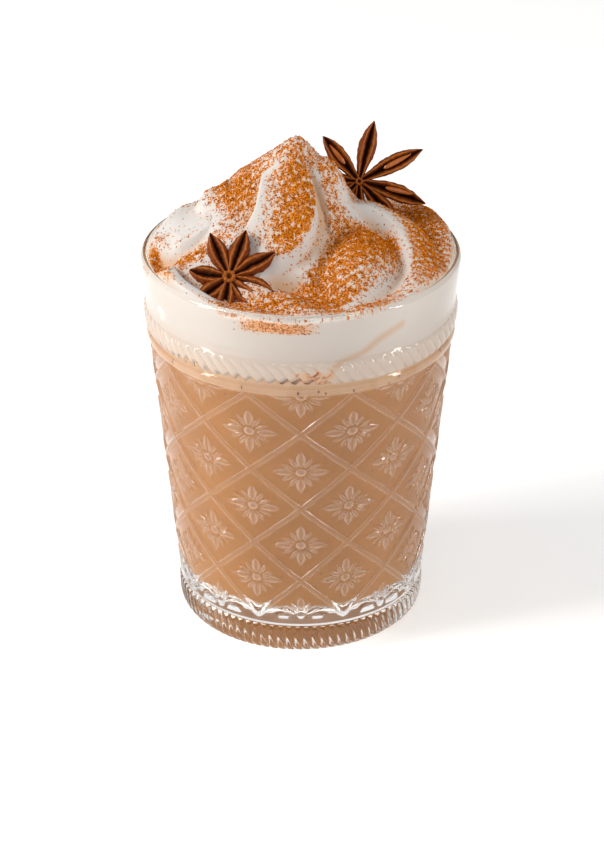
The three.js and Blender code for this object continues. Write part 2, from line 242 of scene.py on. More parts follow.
def dress(obj: Object, material: Material) -> None:
    """Gives the piece this finish alone."""
    obj.data.materials.clear()
    obj.data.materials.append(material)


def settle(obj: Object, slot: str, *nodes: str) -> Object:
    """Makes the piece ride on the object, in place of the solids it stands for.

    Args:
        obj: The finished piece.
        slot: Not used.
        *nodes: The solids that it stands for, if any.

    Returns:
        The same piece.
    """
    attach(obj, ROOT)
    if nodes:
        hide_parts(*nodes)
    return obj


class Value:
    """An output in a node tree, which takes part in sums as a number does."""

    def __init__(self, shader: "Shader", socket: bpy.types.NodeSocket) -> None:
        """Holds the output and the shader that it belongs to."""
        self.shader = shader
        self.socket = socket

    def __add__(self, other: "Value | float") -> "Value":
        """The sum."""
        return self.shader.math("ADD", self, other)

    def __sub__(self, other: "Value | float") -> "Value":
        """The difference."""
        return self.shader.math("SUBTRACT", self, other)

    def __rsub__(self, other: float) -> "Value":
        """A number less this."""
        return self.shader.math("SUBTRACT", other, self)

    def __mul__(self, other: "Value | float") -> "Value":
        """The product."""
        return self.shader.math("MULTIPLY", self, other)

    def __truediv__(self, other: "Value | float") -> "Value":
        """The ratio."""
        return self.shader.math("DIVIDE", self, other)


Amount = Value | float


class Shader:
    """The node tree of one material, or of the sky, while it is being wired."""

    def __init__(self, owner: Material | bpy.types.World) -> None:
        """Starts with an empty tree.

        Args:
            owner: What the tree belongs to.
        """
        self.owner = owner
        owner.use_nodes = True
        self.tree = owner.node_tree
        self.tree.nodes.clear()

    @classmethod
    def of(cls, name: str) -> "Shader":
        """Starts a new material."""
        return cls(bpy.data.materials.new(name))

    def node(self, kind: str, inputs: dict[Any, Any], **settings: Any) -> bpy.types.Node:
        """Adds a node.

        Args:
            kind: The node's type, without its usual prefix.
            inputs: Socket names or numbers, each with a constant or with the value to link to it.
            **settings: The node's own properties.

        Returns:
            The new node.
        """
        made = self.tree.nodes.new("ShaderNode" + kind)
        for key, setting in settings.items():
            setattr(made, key, setting)
        for key, given in inputs.items():
            if isinstance(given, Value):
                self.tree.links.new(given.socket, made.inputs[key])
            else:
                made.inputs[key].default_value = given
        return made

    def read(self, kind: str, output: str | int, inputs: dict[Any, Any], **settings: Any) -> Value:
        """Adds a node and reads one of its outputs."""
        return Value(self, self.node(kind, inputs, **settings).outputs[output])

    def math(self, operation: str, *terms: Amount) -> Value:
        """Adds a sum on up to three numbers or values."""
        return self.read("Math", 0, dict(enumerate(terms)), operation=operation)

    def mix(self, share: Amount, first: Colour | Value, second: Colour | Value) -> Value:
        """Adds a blend of two colours, where share is how much of the second one shows."""
        return self.read("Mix", 2, {0: share, 6: first, 7: second}, data_type="RGBA")

    def place(self) -> Value:
        """The spot on the piece, in its own coordinates."""
        return self.read("TexCoord", "Object", {})

    def axes(self) -> list[Value]:
        """The spot's X, Y and Z, in metres."""
        return [Value(self, axis) for axis in self.node("SeparateXYZ", {0: self.place()}).outputs]

    def turn(self) -> Value:
        """The angle round from the front, in radians."""
        x, y, _ = self.axes()
        return self.math("ARCTAN2", x, y * -1.0)

    def noise(self, cell: float, detail: float = 2.0, roughness: float = 0.5) -> Value:
        """Adds cloudy noise with lumps of a size in millimetres, and finer layers in them."""
        wired = {"Vector": self.place(), "Scale": 1 / (cell * MM), "Detail": detail, "Roughness": roughness}
        return self.read("TexNoise", "Fac", wired)

    def cells(self, size: float) -> tuple[Value, list[Value]]:
        """Adds a pattern of small cells.

        Args:
            size: A cell's size in millimetres.

        Returns:
            How far off its cell's middle a spot is, and three random numbers of the cell.
        """
        made = self.node("TexVoronoi", {"Vector": self.place(), "Scale": 1 / (size * MM)})
        draws = self.node("SeparateColor", {0: Value(self, made.outputs["Color"])})
        return Value(self, made.outputs["Distance"]), [Value(self, draw) for draw in draws.outputs]

    def tag(self, name: str) -> Value:
        """A number stored on the piece's vertices."""
        return self.read("Attribute", "Fac", {}, attribute_name=name)

    def bump(self, height: Amount, depth: float, strength: float) -> Value:
        """Adds fine relief of a depth in millimetres, of which strength is the share that shows."""
        return self.read("Bump", "Normal", {"Height": height, "Distance": depth * MM, "Strength": strength})

    def fall(self, value: Value, low: float, high: float) -> Value:
        """Eases from 1 at low to 0 at high."""
        wired = {"Value": value, "From Min": low, "From Max": high, "To Min": 1.0, "To Max": 0.0}
        return self.read("MapRange", 0, wired, interpolation_type="SMOOTHSTEP")

    def dome(self, share: Value) -> Value:
        """A round rise: 1 where share is 0, and 0 from where it is 1 or -1."""
        return self.math("SQRT", self.math("MAXIMUM", 1.0 - share * share, 0.0))

    def less(self, value: Value, limit: Amount) -> Value:
        """1 where a value is under a limit, and 0 elsewhere."""
        return self.math("LESS_THAN", value, limit)

    def within(self, value: Value, low: float, high: float) -> Value:
        """1 where a value lies between two numbers, and 0 elsewhere."""
        return self.math("GREATER_THAN", value, low) * self.less(value, high)

    def surface(self, inputs: dict[str, Any]) -> Value:
        """Adds the main surface shader."""
        return self.read("BsdfPrincipled", 0, inputs)

    def finish(self, shader: Value, output: str = "OutputMaterial") -> Material | bpy.types.World:
        """Links the last shader to the output and hands over what was wired."""
        self.node(output, {"Surface": shader})
        return self.owner


@dataclass(frozen=True)
class PressedGlass:
    """Clear pressed glass, a little hazy along the edges of its relief, with painted shade in its rib
    grooves, that lets light in to the drink.
    """

    tint: Colour = (0.985, 0.992, 0.988, 1.0)
    # Painted shade: the tint of the rib grooves
    groove_shade_tint: Colour = (0.88, 0.83, 0.78, 1.0)
    let_in: Colour = (0.8, 0.8, 0.8, 1.0)
    roughness: float = 0.02
    ior: float = 1.5
    haze: float = 0.15
    crown_haze: float = 0.25
    crispness: float = 0.45
    band_margin: float = 0.04
    groove_shade_power: float = 3.0

    def material(self, glass: "Tumbler") -> Material:
        """Wires the finish.

        Args:
            glass: The tumbler, whose sizes the fine edges of the relief follow.

        Returns:
            The material.
        """
        made = Shader.of("pressed_glass")
        height = self.relief(made, glass)
        cloudy = (height * 4.0 * (1.0 - height) + height * self.crown_haze) * self.haze
        ribs, painted_groove_shade = self.ribs(made, glass)
        # The rib grooves get painted shade through the glass's colour
        surface = made.surface({
            "Base Color": made.mix(painted_groove_shade, self.tint, self.groove_shade_tint),
            "Roughness": self.roughness, "IOR": self.ior, "Transmission Weight": 1.0 - cloudy,
            "Normal": made.bump(made.math("MAXIMUM", height, ribs), glass.bar_rise, self.crispness),
        })
        clear = made.read("BsdfTransparent", 0, {"Color": self.let_in})
        lamps = made.read("LightPath", "Is Shadow Ray", {})
        return made.finish(made.read("MixShader", 0, {0: lamps, 1: surface, 2: clear}))

    def ribs(self, made: Shader, glass: "Tumbler") -> tuple[Value, Value]:
        """Wires the slanted ribs of the band over the lattice, and the painted shade in their grooves.

        Args:
            made: The shader being wired.
            glass: The tumbler.

        Returns:
            The ribs' relief, 0 to 1, and the painted shade in their grooves.
        """
        up = (made.axes()[2] - glass.bead_top * MM) / ((glass.rib_top - glass.bead_top) * MM)
        along = made.turn() * (glass.ribs / (2 * math.pi)) + (up - 1.0) * glass.rib_slant
        share = made.math("FRACT", along) * 2.0 - 1.0
        inside = made.within(up, self.band_margin, 1 - self.band_margin)
        # Painted shade, deepest in the middle of each groove
        groove = made.math("POWER", made.math("ABSOLUTE", share), self.groove_shade_power)
        return made.dome(share) * inside, groove * inside

    def relief(self, made: Shader, glass: "Tumbler") -> Value:
        """Wires the lattice's relief, as fine as the view asks.

        Args:
            made: The shader being wired.
            glass: The tumbler.

        Returns:
            The relief, 0 to 1.
        """
        u = made.turn() / math.radians(glass.half_turn)
        v = (glass.lattice_top * MM - made.axes()[2]) / (glass.half_row * MM)
        across, reach = glass.diamond((glass.lattice_top + glass.lattice_bottom) / 2)
        lines = (u + v, u - v)
        middles = [made.math("FLOORED_MODULO", line, 2.0) - 1.0 for line in lines]
        away = [made.math("ABSOLUTE", middle) * reach for middle in middles]
        bar = made.fall(made.math("MINIMUM", *away), glass.bar_half - glass.bar_edge, glass.bar_half)
        first, second = [made.math("WRAP", line * 0.5, 0.5, -0.5) for line in lines]
        flower = glass.flower.wired(made, (first + second) * across, (second - first) * glass.half_row)
        return made.math("MAXIMUM", bar, flower) * made.within(v, 0.0, glass.half_rows)


@dataclass(frozen=True)
class MilkyTea:
    """Opaque spiced tea with milk: faint clouds, a froth line under the cream, and a few spice specks."""

    tea: Colour = srgb(174, 114, 49)
    pale: Colour = srgb(188, 130, 65)
    froth: Colour = srgb(212, 174, 140)
    spice: Colour = srgb(96, 42, 14)
    cloud: float = 14.0
    froth_height: float = 85.8
    froth_half: float = 1.4
    ripple: float = 6.0
    ripple_rise: float = 3.0
    speck: float = 0.9
    speck_reach: float = 0.28
    speck_share: float = 0.012
    line_share: float = 0.45
    line_half: float = 1.0

    def material(self) -> Material:
        """Wires the finish.

        Returns:
            The material.
        """
        made = Shader.of("milky_tea")
        clouds = made.mix(made.noise(self.cloud), self.tea, self.pale)
        level = made.axes()[2] / MM + (made.noise(self.ripple, 3.0) - 0.5) * self.ripple_rise
        under = made.fall(level, self.froth_height - self.froth_half, self.froth_height + self.froth_half)
        colour = made.mix(under, self.froth, clouds)
        off_line = made.math("ABSOLUTE", level - self.froth_height)
        share = made.fall(off_line, 0.0, self.line_half) * self.line_share + self.speck_share
        distance, draws = made.cells(self.speck)
        specks = made.less(draws[0], share) * made.less(distance, self.speck_reach)
        return made.finish(made.surface({
            "Base Color": made.mix(specks, colour, self.spice), "Roughness": 0.35, "IOR": 1.35,
            "Subsurface Weight": 0.15, "Subsurface Radius": (1.0, 0.6, 0.35), "Subsurface Scale": 2 * MM,
        }))


@dataclass(frozen=True)
class DustedCream:
    """Whipped cream with painted shade in its hollows and on its wall, a tea streak, and fine cinnamon where
    the dust tag is high.
    """

    white: Colour = srgb(219, 214, 209)
    # Painted shade for the hollows and the wall, also the colour of the tea streak
    shade_and_streak: Colour = srgb(212, 178, 146)
    stain: Colour = srgb(238, 156, 36)
    bright: Colour = srgb(230, 130, 12)
    dark: Colour = srgb(142, 64, 0)
    stain_share: float = 0.9
    grain: float = 0.42
    grain_least: float = 0.45
    grain_spread: float = 0.3
    bubble: float = 0.5
    bubble_depth: float = 0.06
    bubble_share: float = 0.35

    def material(self) -> Material:
        """Wires the finish.

        Returns:
            The material.
        """
        made = Shader.of("dusted_cream")
        dust = made.tag("dust")
        # Painted shade in the hollows and on the wall, and the tea streak
        cream = made.mix(made.tag("shade_and_streak"), self.white, self.shade_and_streak)
        stained = made.mix(dust * self.stain_share, cream, self.stain)
        distance, draws = made.cells(self.grain)
        reach = draws[1] * self.grain_spread + self.grain_least
        grains = made.less(draws[0], dust) * made.less(distance, reach)
        relief = made.noise(self.bubble, 3.0, 0.6) + grains
        return made.finish(made.surface({
            "Base Color": made.mix(grains, stained, made.mix(draws[2], self.bright, self.dark)),
            "Roughness": 0.6, "Specular IOR Level": 0.3,
            "Subsurface Weight": 0.2, "Subsurface Radius": (1.0, 0.75, 0.55), "Subsurface Scale": 2 * MM,
            "Normal": made.bump(relief, self.bubble_depth, self.bubble_share),
        }))


@dataclass(frozen=True)
class DryPod:
    """Woody star anise skin: wrinkled outside, pale along its lips, with painted shade in its slit."""

    skin: Colour = srgb(150, 70, 18)
    shade: Colour = srgb(80, 30, 7)
    lip: Colour = srgb(220, 134, 58)
    # Painted shade for the slit
    inside: Colour = srgb(32, 9, 3)
    blotch: float = 1.6
    wear: float = 0.7
    wrinkle: float = 0.9
    wrinkle_depth: float = 0.25
    wrinkle_share: float = 0.7

    def material(self) -> Material:
        """Wires the finish.

        Returns:
            The material.
        """
        made = Shader.of("dry_pod")
        skin = made.mix(made.noise(self.blotch, 3.0), self.shade, self.skin)
        lipped = made.mix(made.tag("lip") * made.noise(self.wear), skin, self.lip)
        wrinkles = made.noise(self.wrinkle, 4.0, 0.65)
        # The slit gets painted shade
        return made.finish(made.surface({
            "Base Color": made.mix(made.tag("slit"), lipped, self.inside),
            "Roughness": 0.6, "Specular IOR Level": 0.15,
            "Normal": made.bump(wrinkles, self.wrinkle_depth, self.wrinkle_share),
        }))


@dataclass(frozen=True)
class GlossySeed:
    """The smooth, shiny seed in an open pod."""

    brown: Colour = srgb(198, 112, 42)
    dark: Colour = srgb(142, 66, 20)
    blotch: float = 2.5

    def material(self) -> Material:
        """Wires the finish.

        Returns:
            The material.
        """
        made = Shader.of("glossy_seed")
        colour = made.mix(made.noise(self.blotch), self.brown, self.dark)
        return made.finish(made.surface({"Base Color": colour, "Roughness": 0.18, "Coat Weight": 0.5}))


@dataclass(frozen=True)
class CinnamonPowder:
    """Loose crumbs of ground cinnamon, from orange to dark brown."""

    bright: Colour = srgb(240, 144, 10)
    dark: Colour = srgb(140, 62, 0)
    blotch: float = 0.5
    turning: Pair = (0.38, 0.62)

    def material(self) -> Material:
        """Wires the finish.

        Returns:
            The material.
        """
        made = Shader.of("cinnamon_powder")
        share = made.fall(made.noise(self.blotch, 2.0, 0.7), *self.turning)
        colour = made.mix(share, self.bright, self.dark)
        return made.finish(made.surface({"Base Color": colour, "Roughness": 0.9, "Specular IOR Level": 0.1}))


@dataclass(frozen=True)
class PaleFloor:
    """A plain white studio floor."""

    white: Colour = (0.97, 0.97, 0.965, 1.0)
    soft: Colour = (0.96, 0.96, 0.95, 1.0)
    patch: float = 400.0
    glow: float = 0.4

    def material(self) -> Material:
        """Wires the finish.

        Returns:
            The material.
        """
        made = Shader.of("pale_floor")
        return made.finish(made.surface({
            "Base Color": made.mix(made.noise(self.patch), self.white, self.soft),
            "Roughness": 0.9, "Specular IOR Level": 0.1,
            "Emission Color": self.white, "Emission Strength": self.glow,
        }))


class RingSkin:
    """A skin of rings round the Z axis, given in order along a profile, up outside and down inside."""

    def __init__(self) -> None:
        """Starts with no ring."""
        self.points: list[Array] = []
        self.faces: list[tuple[int, ...]] = []
        self.size = 0
        self.last: tuple[int, int] | None = None

    @staticmethod
    def angles(count: int) -> Array:
        """Degrees round from the front, for a ring of that many points."""
        return 360.0 * np.arange(count) / count

    def ring(self, count: int, height: float, radius: Array | float) -> None:
        """Adds a ring and joins it to the one before.

        Args:
            count: Points round it; 1 makes a pole on the axis.
            height: Its height in millimetres.
            radius: One radius in millimetres, or one for each point.
        """
        turn = np.radians(self.angles(count) - 90)
        rows = np.stack([radius * np.cos(turn), radius * np.sin(turn), np.full(count, height)], axis=1)
        start = self.size
        self.points.append(rows)
        self.size += count
        if self.last:
            self.join(*self.last, start, count)
        self.last = (start, count)

    def join(self, a: int, a_count: int, b: int, b_count: int) -> None:
        """Fills the strip between two rings.

        Args:
            a: First vertex of the ring before.
            a_count: Its number of points.
            b: First vertex of the new ring.
            b_count: Its number of points.
        """
        if a_count == b_count:
            here = np.arange(a_count)
            after = (here + 1) % a_count
            strip = np.stack([a + here, a + after, b + after, b + here], axis=1)
            self.faces.extend(map(tuple, strip.tolist()))
            return
        i = j = 0
        a_steps = 0 if a_count == 1 else a_count
        b_steps = 0 if b_count == 1 else b_count
        while i < a_steps or j < b_steps:
            first, second = a + i % a_count, b + j % b_count
            if j >= b_steps or (i < a_steps and (i + 1) * b_count <= (j + 1) * a_count):
                i += 1
                self.faces.append((first, a + i % a_count, second))
            else:
                j += 1
                self.faces.append((first, b + j % b_count, second))

    def piece(self, name: str) -> Object:
        """The finished skin as a mesh object."""
        return mesh_piece(name, np.vstack(self.points), self.faces)


@dataclass(frozen=True)
class Flower:
    """The pressed flower in each diamond: a button, four leaves and eight slender petals."""

    button: float = 1.3
    leaf_start: float = 1.6
    leaf_end: float = 6.6
    leaf_half: float = 1.15
    petal_end: float = 5.2
    petal_half: float = 0.6
    height: float = 0.5
    spread: float = 15.0
    stretch: float = 1.13
    bulge: float = 0.8
    least_width: float = 1e-6

    def petal(self, x: Array, y: Array, turn: float, end: float, half: float) -> Array:
        """One petal, rounded across and pointed at both ends.

        Args:
            x: Millimetres to the right of the flower's middle.
            y: Millimetres above it.
            turn: The petal's direction in degrees.
            end: How far out it reaches.
            half: Its half width.

        Returns:
            Its rise, from 0 to 1.
        """
        c, s = math.cos(math.radians(turn)), math.sin(math.radians(turn))
        along = np.clip((x * c + y * s - self.leaf_start) / (end - self.leaf_start), 0, 1)
        width = half * np.sin(np.pi * along) ** self.bulge + self.least_width
        return dome((y * c - x * s) / width) * (along > 0) * (along < 1)

    def rise(self, x: Array, y: Array) -> Array:
        """The whole flower's rise.

        Args:
            x: Millimetres to the right of the flower's middle.
            y: Millimetres above it.

        Returns:
            The rise in millimetres.
        """
        x = x / self.stretch
        whole = dome(np.hypot(x, y) / self.button)
        for turn in range(0, 360, 90):
            whole = np.maximum(whole, self.petal(x, y, turn, self.leaf_end, self.leaf_half))
            for lean in (45 - self.spread, 45 + self.spread):
                whole = np.maximum(whole, self.petal(x, y, turn + lean, self.petal_end, self.petal_half))
        return self.height * whole

    def wired(self, made: Shader, x: Value, y: Value) -> Value:
        """Wires the same flower in a shader.

        Args:
            made: The shader being wired.
            x: Millimetres to the right of the flower's middle.
            y: Millimetres above it.

        Returns:
            The rise, 0 to 1.
        """
        x = x / self.stretch
        out = made.math("SQRT", x * x + y * y)
        turn = made.math("ARCTAN2", y, x)
        quarter = math.radians(45)
        leaf = made.math("WRAP", turn, quarter, -quarter)
        between = made.math("WRAP", turn + quarter, quarter, -quarter)
        slender = made.math("ABSOLUTE", between) - math.radians(self.spread)
        whole = made.dome(out / self.button)
        leaves = (leaf, self.leaf_end, self.leaf_half)
        petals = (slender, self.petal_end, self.petal_half)
        for lean, end, half in (leaves, petals):
            forward = (out * made.math("COSINE", lean) - self.leaf_start) / (end - self.leaf_start)
            along = made.read("Clamp", 0, {0: forward})
            bulge = made.math("POWER", made.math("SINE", along * math.pi), self.bulge)
            aside = out * made.math("SINE", lean)
            whole = made.math("MAXIMUM", whole, made.dome(aside / (bulge * half + self.least_width)))
        return whole


@dataclass
class Tumbler:
    """The pressed-glass tumbler: ribbed foot, diamond lattice with flowers, bead, rib band, plain rim."""

    height: float = 110.0
    rim_radius: float = 44.0
    taper_foot_radius: float = 33.5
    wall_at_rim: float = 2.2
    wall_at_table: float = 3.3
    lip_start: float = 104.0
    lip_inset: float = 0.1
    lip_rings: int = 9
    inner_stops: Triple = (90.0, 60.0, 35.0)
    floor_height: float = 11.5
    floor_corner: float = 5.0
    corner_rings: int = 8
    floor_middle: float = 14.0
    columns: int = 9
    half_rows: int = 6
    cells: int = 24
    lattice_top: float = 85.8
    lattice_bottom: float = 13.2
    bar_half: float = 0.95
    bar_edge: float = 0.45
    bar_rise: float = 0.55
    bead_top: float = 89.3
    bead_rise: float = 1.0
    bead_reach: float = 0.9
    bead_rings: int = 7
    rib_top: float = 95.8
    ribs: int = 81
    rib_valley: float = 0.3
    rib_rise: float = 0.77
    rib_slant: float = 1.5
    rib_rings: int = 10
    plain_starts: Pair = (0.3, 3.0)
    flare: tuple[Pair, ...] = ((9.5, 34.2), (9.8, 34.75), (10.2, 35.0), (11.0, 35.05), (12.0, 34.95))
    foot_line: tuple[Pair, ...] = (
        (0.0, 31.5), (0.4, 32.6), (1.4, 33.9), (3.0, 34.9),
        (5.0, 35.2), (8.4, 35.2), (9.0, 34.9), (9.4, 34.4),
    )
    foot_rows: tuple[float, float, int] = (0.3, 9.3, 15)
    foot_ribs: int = 90
    foot_rib_depth: float = 1.1
    foot_rib_start: Pair = (0.4, 1.6)
    foot_rib_end: Pair = (9.3, 8.7)
    foot_slant: float = 1.3
    recess_depth: float = 1.2
    recess_middle: float = 12.0
    recess_edge: Pair = (1.6, 0.6)
    stand_inner: float = 26.0
    flower: Flower = field(default_factory=Flower)
    finish: PressedGlass = field(default_factory=PressedGlass)

    @property
    def fine(self) -> int:
        """Points round the lattice."""
        return 2 * self.columns * self.cells

    @property
    def half_turn(self) -> float:
        """Degrees from one crossing of the bars to the next."""
        return 180 / self.columns

    @property
    def half_row(self) -> float:
        """Height from one crossing of the bars to the next."""
        return (self.lattice_top - self.lattice_bottom) / self.half_rows

    def outer(self, z: float) -> float:
        """Radius of the plain outside at a height."""
        return self.taper_foot_radius + (self.rim_radius - self.taper_foot_radius) * z / self.height

    def inner(self, z: float) -> float:
        """Radius of the inside at a height."""
        wall = self.wall_at_table + (self.wall_at_rim - self.wall_at_table) * z / self.height
        return self.outer(z) - wall

    def foot_radius(self, z: float) -> float:
        """Radius of the foot's crest line: full in the middle and rounded at both ends."""
        return float(between(self.foot_line, z)[0])

    def diamond(self, z: float) -> Pair:
        """Half the width of a diamond at a height, and how far its middle lies from its bars."""
        across = math.radians(self.half_turn) * self.outer(z)
        return across, across * self.half_row / math.hypot(across, self.half_row)

    def lattice(self, angle: Array, z: float) -> Array:
        """Rise of the crossing bars and the flowers between them.

        Args:
            angle: Degrees round from the front.
            z: Height in millimetres.

        Returns:
            The rise at each angle, in millimetres.
        """
        across, reach = self.diamond(z)
        u = angle / self.half_turn
        v = (self.lattice_top - z) / self.half_row
        away = [np.abs((line % 2) - 1) * reach for line in (u + v, u - v)]
        bars = self.bar_rise * smooth_step(self.bar_half, self.bar_half - self.bar_edge, np.minimum(*away))
        first, second = np.round((u + v) / 2), np.round((u - v) / 2)
        x, y = u - (first + second), first - second - v
        return np.maximum(bars, self.flower.rise(x * across, y * self.half_row))

    def ribbed(self, angle: Array, count: int, turn: float) -> Array:
        """Round ribs side by side.

        Args:
            angle: Degrees round from the front.
            count: Ribs in a full turn.
            turn: Rib pitches that they have moved round at this height.

        Returns:
            0 in each valley and 1 on each crest.
        """
        along = (angle * count / 360 + turn) % 1
        return dome(2 * along - 1)

    def add_foot(self, skin: RingSkin) -> None:
        """Adds the underside, the ribbed foot and the flare above it.

        Args:
            skin: The skin being made.
        """
        plain = self.fine
        slope, curve = self.recess_edge
        skin.ring(1, self.recess_depth, 0)
        skin.ring(plain // 4, self.recess_depth, self.recess_middle)
        skin.ring(plain // 2, self.recess_depth, self.stand_inner - slope)
        skin.ring(plain // 2, self.recess_depth / 2, self.stand_inner - curve)
        skin.ring(plain, 0, self.stand_inner)
        skin.ring(plain, 0, self.foot_radius(0))
        angle = skin.angles(2 * plain)
        for z in np.linspace(*self.foot_rows):
            share = smooth_step(*self.foot_rib_start, z) * smooth_step(*self.foot_rib_end, z)
            groove = 1 - self.ribbed(angle, self.foot_ribs, -self.foot_slant * (1 - z / self.foot_rows[1]))
            skin.ring(2 * plain, z, self.foot_radius(z) - self.foot_rib_depth * share * groove)
        for z, radius in self.flare:
            skin.ring(plain, z, radius)

    def add_lattice(self, skin: RingSkin) -> None:
        """Adds the wall with its diamonds, on a grid whose diagonals follow the bars.

        Args:
            skin: The skin being made.
        """
        angle = skin.angles(self.fine)
        for z in np.linspace(self.lattice_bottom, self.lattice_top, self.half_rows * self.cells + 1):
            skin.ring(self.fine, z, self.outer(z) + self.lattice(angle, z))

    def add_bands(self, skin: RingSkin) -> None:
        """Adds the smooth bead, the slanted ribs and the plain rim's outside.

        Args:
            skin: The skin being made.
        """
        middle = (self.lattice_top + self.bead_top) / 2
        half = (self.bead_top - self.lattice_top) / 2
        for step in np.linspace(-self.bead_reach, self.bead_reach, self.bead_rings):
            z = middle + half * step
            skin.ring(self.fine, z, self.outer(z) + self.bead_rise * dome(step))
        angle = skin.angles(2 * self.fine)
        for share in np.linspace(0, 1, self.rib_rings):
            z = self.bead_top + share * (self.rib_top - self.bead_top)
            crest = self.rib_rise * math.sqrt(4 * share * (1 - share))
            groove = self.ribbed(angle, self.ribs, -self.rib_slant * (1 - share))
            skin.ring(2 * self.fine, z, self.outer(z) + self.rib_valley + crest * groove)
        for z in (*(self.rib_top + start for start in self.plain_starts), self.lip_start):
            skin.ring(self.fine, z, self.outer(z))

    def add_inside(self, skin: RingSkin) -> None:
        """Adds the rounded lip, the inner wall, its rounded corner and the floor.

        Args:
            skin: The skin being made.
        """
        lip = self.wall_at_rim / 2
        middle = self.rim_radius - lip - self.lip_inset
        for turn in np.radians(np.linspace(0, 180, self.lip_rings)):
            skin.ring(self.fine, self.height - lip + lip * math.sin(turn), middle + lip * math.cos(turn))
        half = self.fine // 2
        for z in (self.lip_start, *self.inner_stops):
            skin.ring(half, z, self.inner(z))
        corner = self.floor_height + self.floor_corner
        for turn in np.radians(np.linspace(0, 90, self.corner_rings)):
            radius = self.inner(corner) - self.floor_corner * (1 - math.cos(turn))
            skin.ring(half, corner - self.floor_corner * math.sin(turn), radius)
        skin.ring(half // 2, self.floor_height, self.floor_middle)
        skin.ring(1, self.floor_height, 0)

    def build(self) -> list[Object]:
        """Makes the glass.

        Returns:
            The piece.
        """
        skin = RingSkin()
        for add in (self.add_foot, self.add_lattice, self.add_bands, self.add_inside):
            add(skin)
        glass = skin.piece("pressed_tumbler")
        smooth(glass)
        dress(glass, self.finish.material(self))
        return [settle(glass, "glass", "glass_tumbler")]


@dataclass
class Latte:
    """The milky tea, which fills the tumbler up to the cream."""

    glass: Tumbler
    top: float = 89.8
    into_wall: float = 0.08
    sides: int = 192
    corner_steps: int = 8
    crisp_angle: float = 60.0
    finish: MilkyTea = field(default_factory=MilkyTea)

    def build(self) -> list[Object]:
        """Makes the drink from a cylinder that is tapered to the glass and rounded at its bottom edge.

        Returns:
            The piece.
        """
        bottom = self.glass.floor_height - self.into_wall
        depth = self.top - bottom
        drink = start_from(
            "chai_latte", bpy.ops.mesh.primitive_cylinder_add, vertices=self.sides, radius=MM,
            depth=depth * MM, location=(0, 0, (bottom + depth / 2) * MM), end_fill_type="TRIFAN",
        )
        points = points_of(drink)
        low = points[:, 2] < bottom + depth / 2
        outside = np.hypot(points[:, 0], points[:, 1]) > 0.5
        radius = np.where(low, self.glass.inner(bottom), self.glass.inner(self.top)) + self.into_wall
        points[:, :2] *= radius[:, None]
        move_points(drink, points)
        choose_edges(drink, low & outside)
        bpy.ops.mesh.bevel(offset=self.glass.floor_corner * MM, segments=self.corner_steps)
        bpy.ops.object.mode_set(mode="OBJECT")
        smooth(drink, self.crisp_angle)
        dress(drink, self.finish.material())
        return [settle(drink, "latte", "latte")]


def fine_line(line: Iterable[tuple[float, ...]], steps: int = 6) -> Array:
    """A smooth curve through points.

    Args:
        line: The points, each with two or three coordinates.
        steps: Pieces between neighbouring points.

    Returns:
        The points of the fine curve, with three coordinates each.
    """
    given = np.array([(*point, 0.0)[:3] for point in line], dtype=float)
    ends = np.vstack([2 * given[0] - given[1], given, 2 * given[-1] - given[-2]])
    made = []
    for before, start, end, after in zip(ends, ends[1:], ends[2:], ends[3:]):
        for t in np.arange(steps) / steps:
            bend = (2 * before - 5 * start + 4 * end - after) * t * t
            twist = (3 * start - before - 3 * end + after) * t ** 3
            made.append(0.5 * (2 * start + (end - before) * t + bend + twist))
    return np.array(made + [given[-1]])


@dataclass
class Nearest:
    """Where spots lie beside a line."""

    off: Array
    side: Array
    along: Array
    height: Array

    @classmethod
    def to(cls, line: Array, x: Array, y: Array) -> "Nearest":
        """Finds the nearest point of a line to each spot.

        Args:
            line: The line's points.
            x: The spots' places across.
            y: The spots' places along.

        Returns:
            Distance, side (1 is left of the line), share along the line, and the line's height.
        """
        found = cls(np.full(x.shape, np.inf), np.zeros(x.shape), np.zeros(x.shape), np.zeros(x.shape))
        for i, (a, b) in enumerate(zip(line, line[1:])):
            vx, vy = b[0] - a[0], b[1] - a[1]
            t = np.clip(((x - a[0]) * vx + (y - a[1]) * vy) / (vx * vx + vy * vy), 0, 1)
            off = np.hypot(x - a[0] - t * vx, y - a[1] - t * vy)
            nearer = off < found.off
            found.off = np.where(nearer, off, found.off)
            found.side = np.where(nearer, np.sign(vx * (y - a[1]) - vy * (x - a[0])), found.side)
            found.along = np.where(nearer, (i + t) / (len(line) - 1), found.along)
            found.height = np.where(nearer, a[2] + t * (b[2] - a[2]), found.height)
        return found


@dataclass(frozen=True)
class Mound:
    """A round lobe of cream, or a pit where its height is taken away."""

    middle: Pair
    foot: float
    half: Pair
    rise: float
    power: float = 0.75
    skirt: float = 20.0

    def height(self, x: Array, y: Array) -> Array:
        """The lobe's height.

        Args:
            x: Places across.
            y: Places along.

        Returns:
            The height over each spot.
        """
        out = patch(x, y, self.middle, self.half)
        inside = self.foot + self.rise * np.clip(1 - out, 0, 1) ** self.power
        return inside - self.skirt * np.maximum(0, out - 1)


@dataclass(frozen=True)
class Peak:
    """The heap's main cone: its tip, and its slope in directions given in degrees."""

    tip: Triple
    slopes: tuple[Pair, ...]
    blunt: float = 2.2

    def height(self, x: Array, y: Array) -> Array:
        """The cone's height.

        Args:
            x: Places across.
            y: Places along.

        Returns:
            The height over each spot.
        """
        dx, dy = x - self.tip[0], y - self.tip[1]
        slope = np.interp(np.degrees(np.arctan2(dy, dx)) % 360, *zip(*self.slopes), period=360)
        return self.tip[2] - slope * (np.sqrt(dx * dx + dy * dy + self.blunt ** 2) - self.blunt)


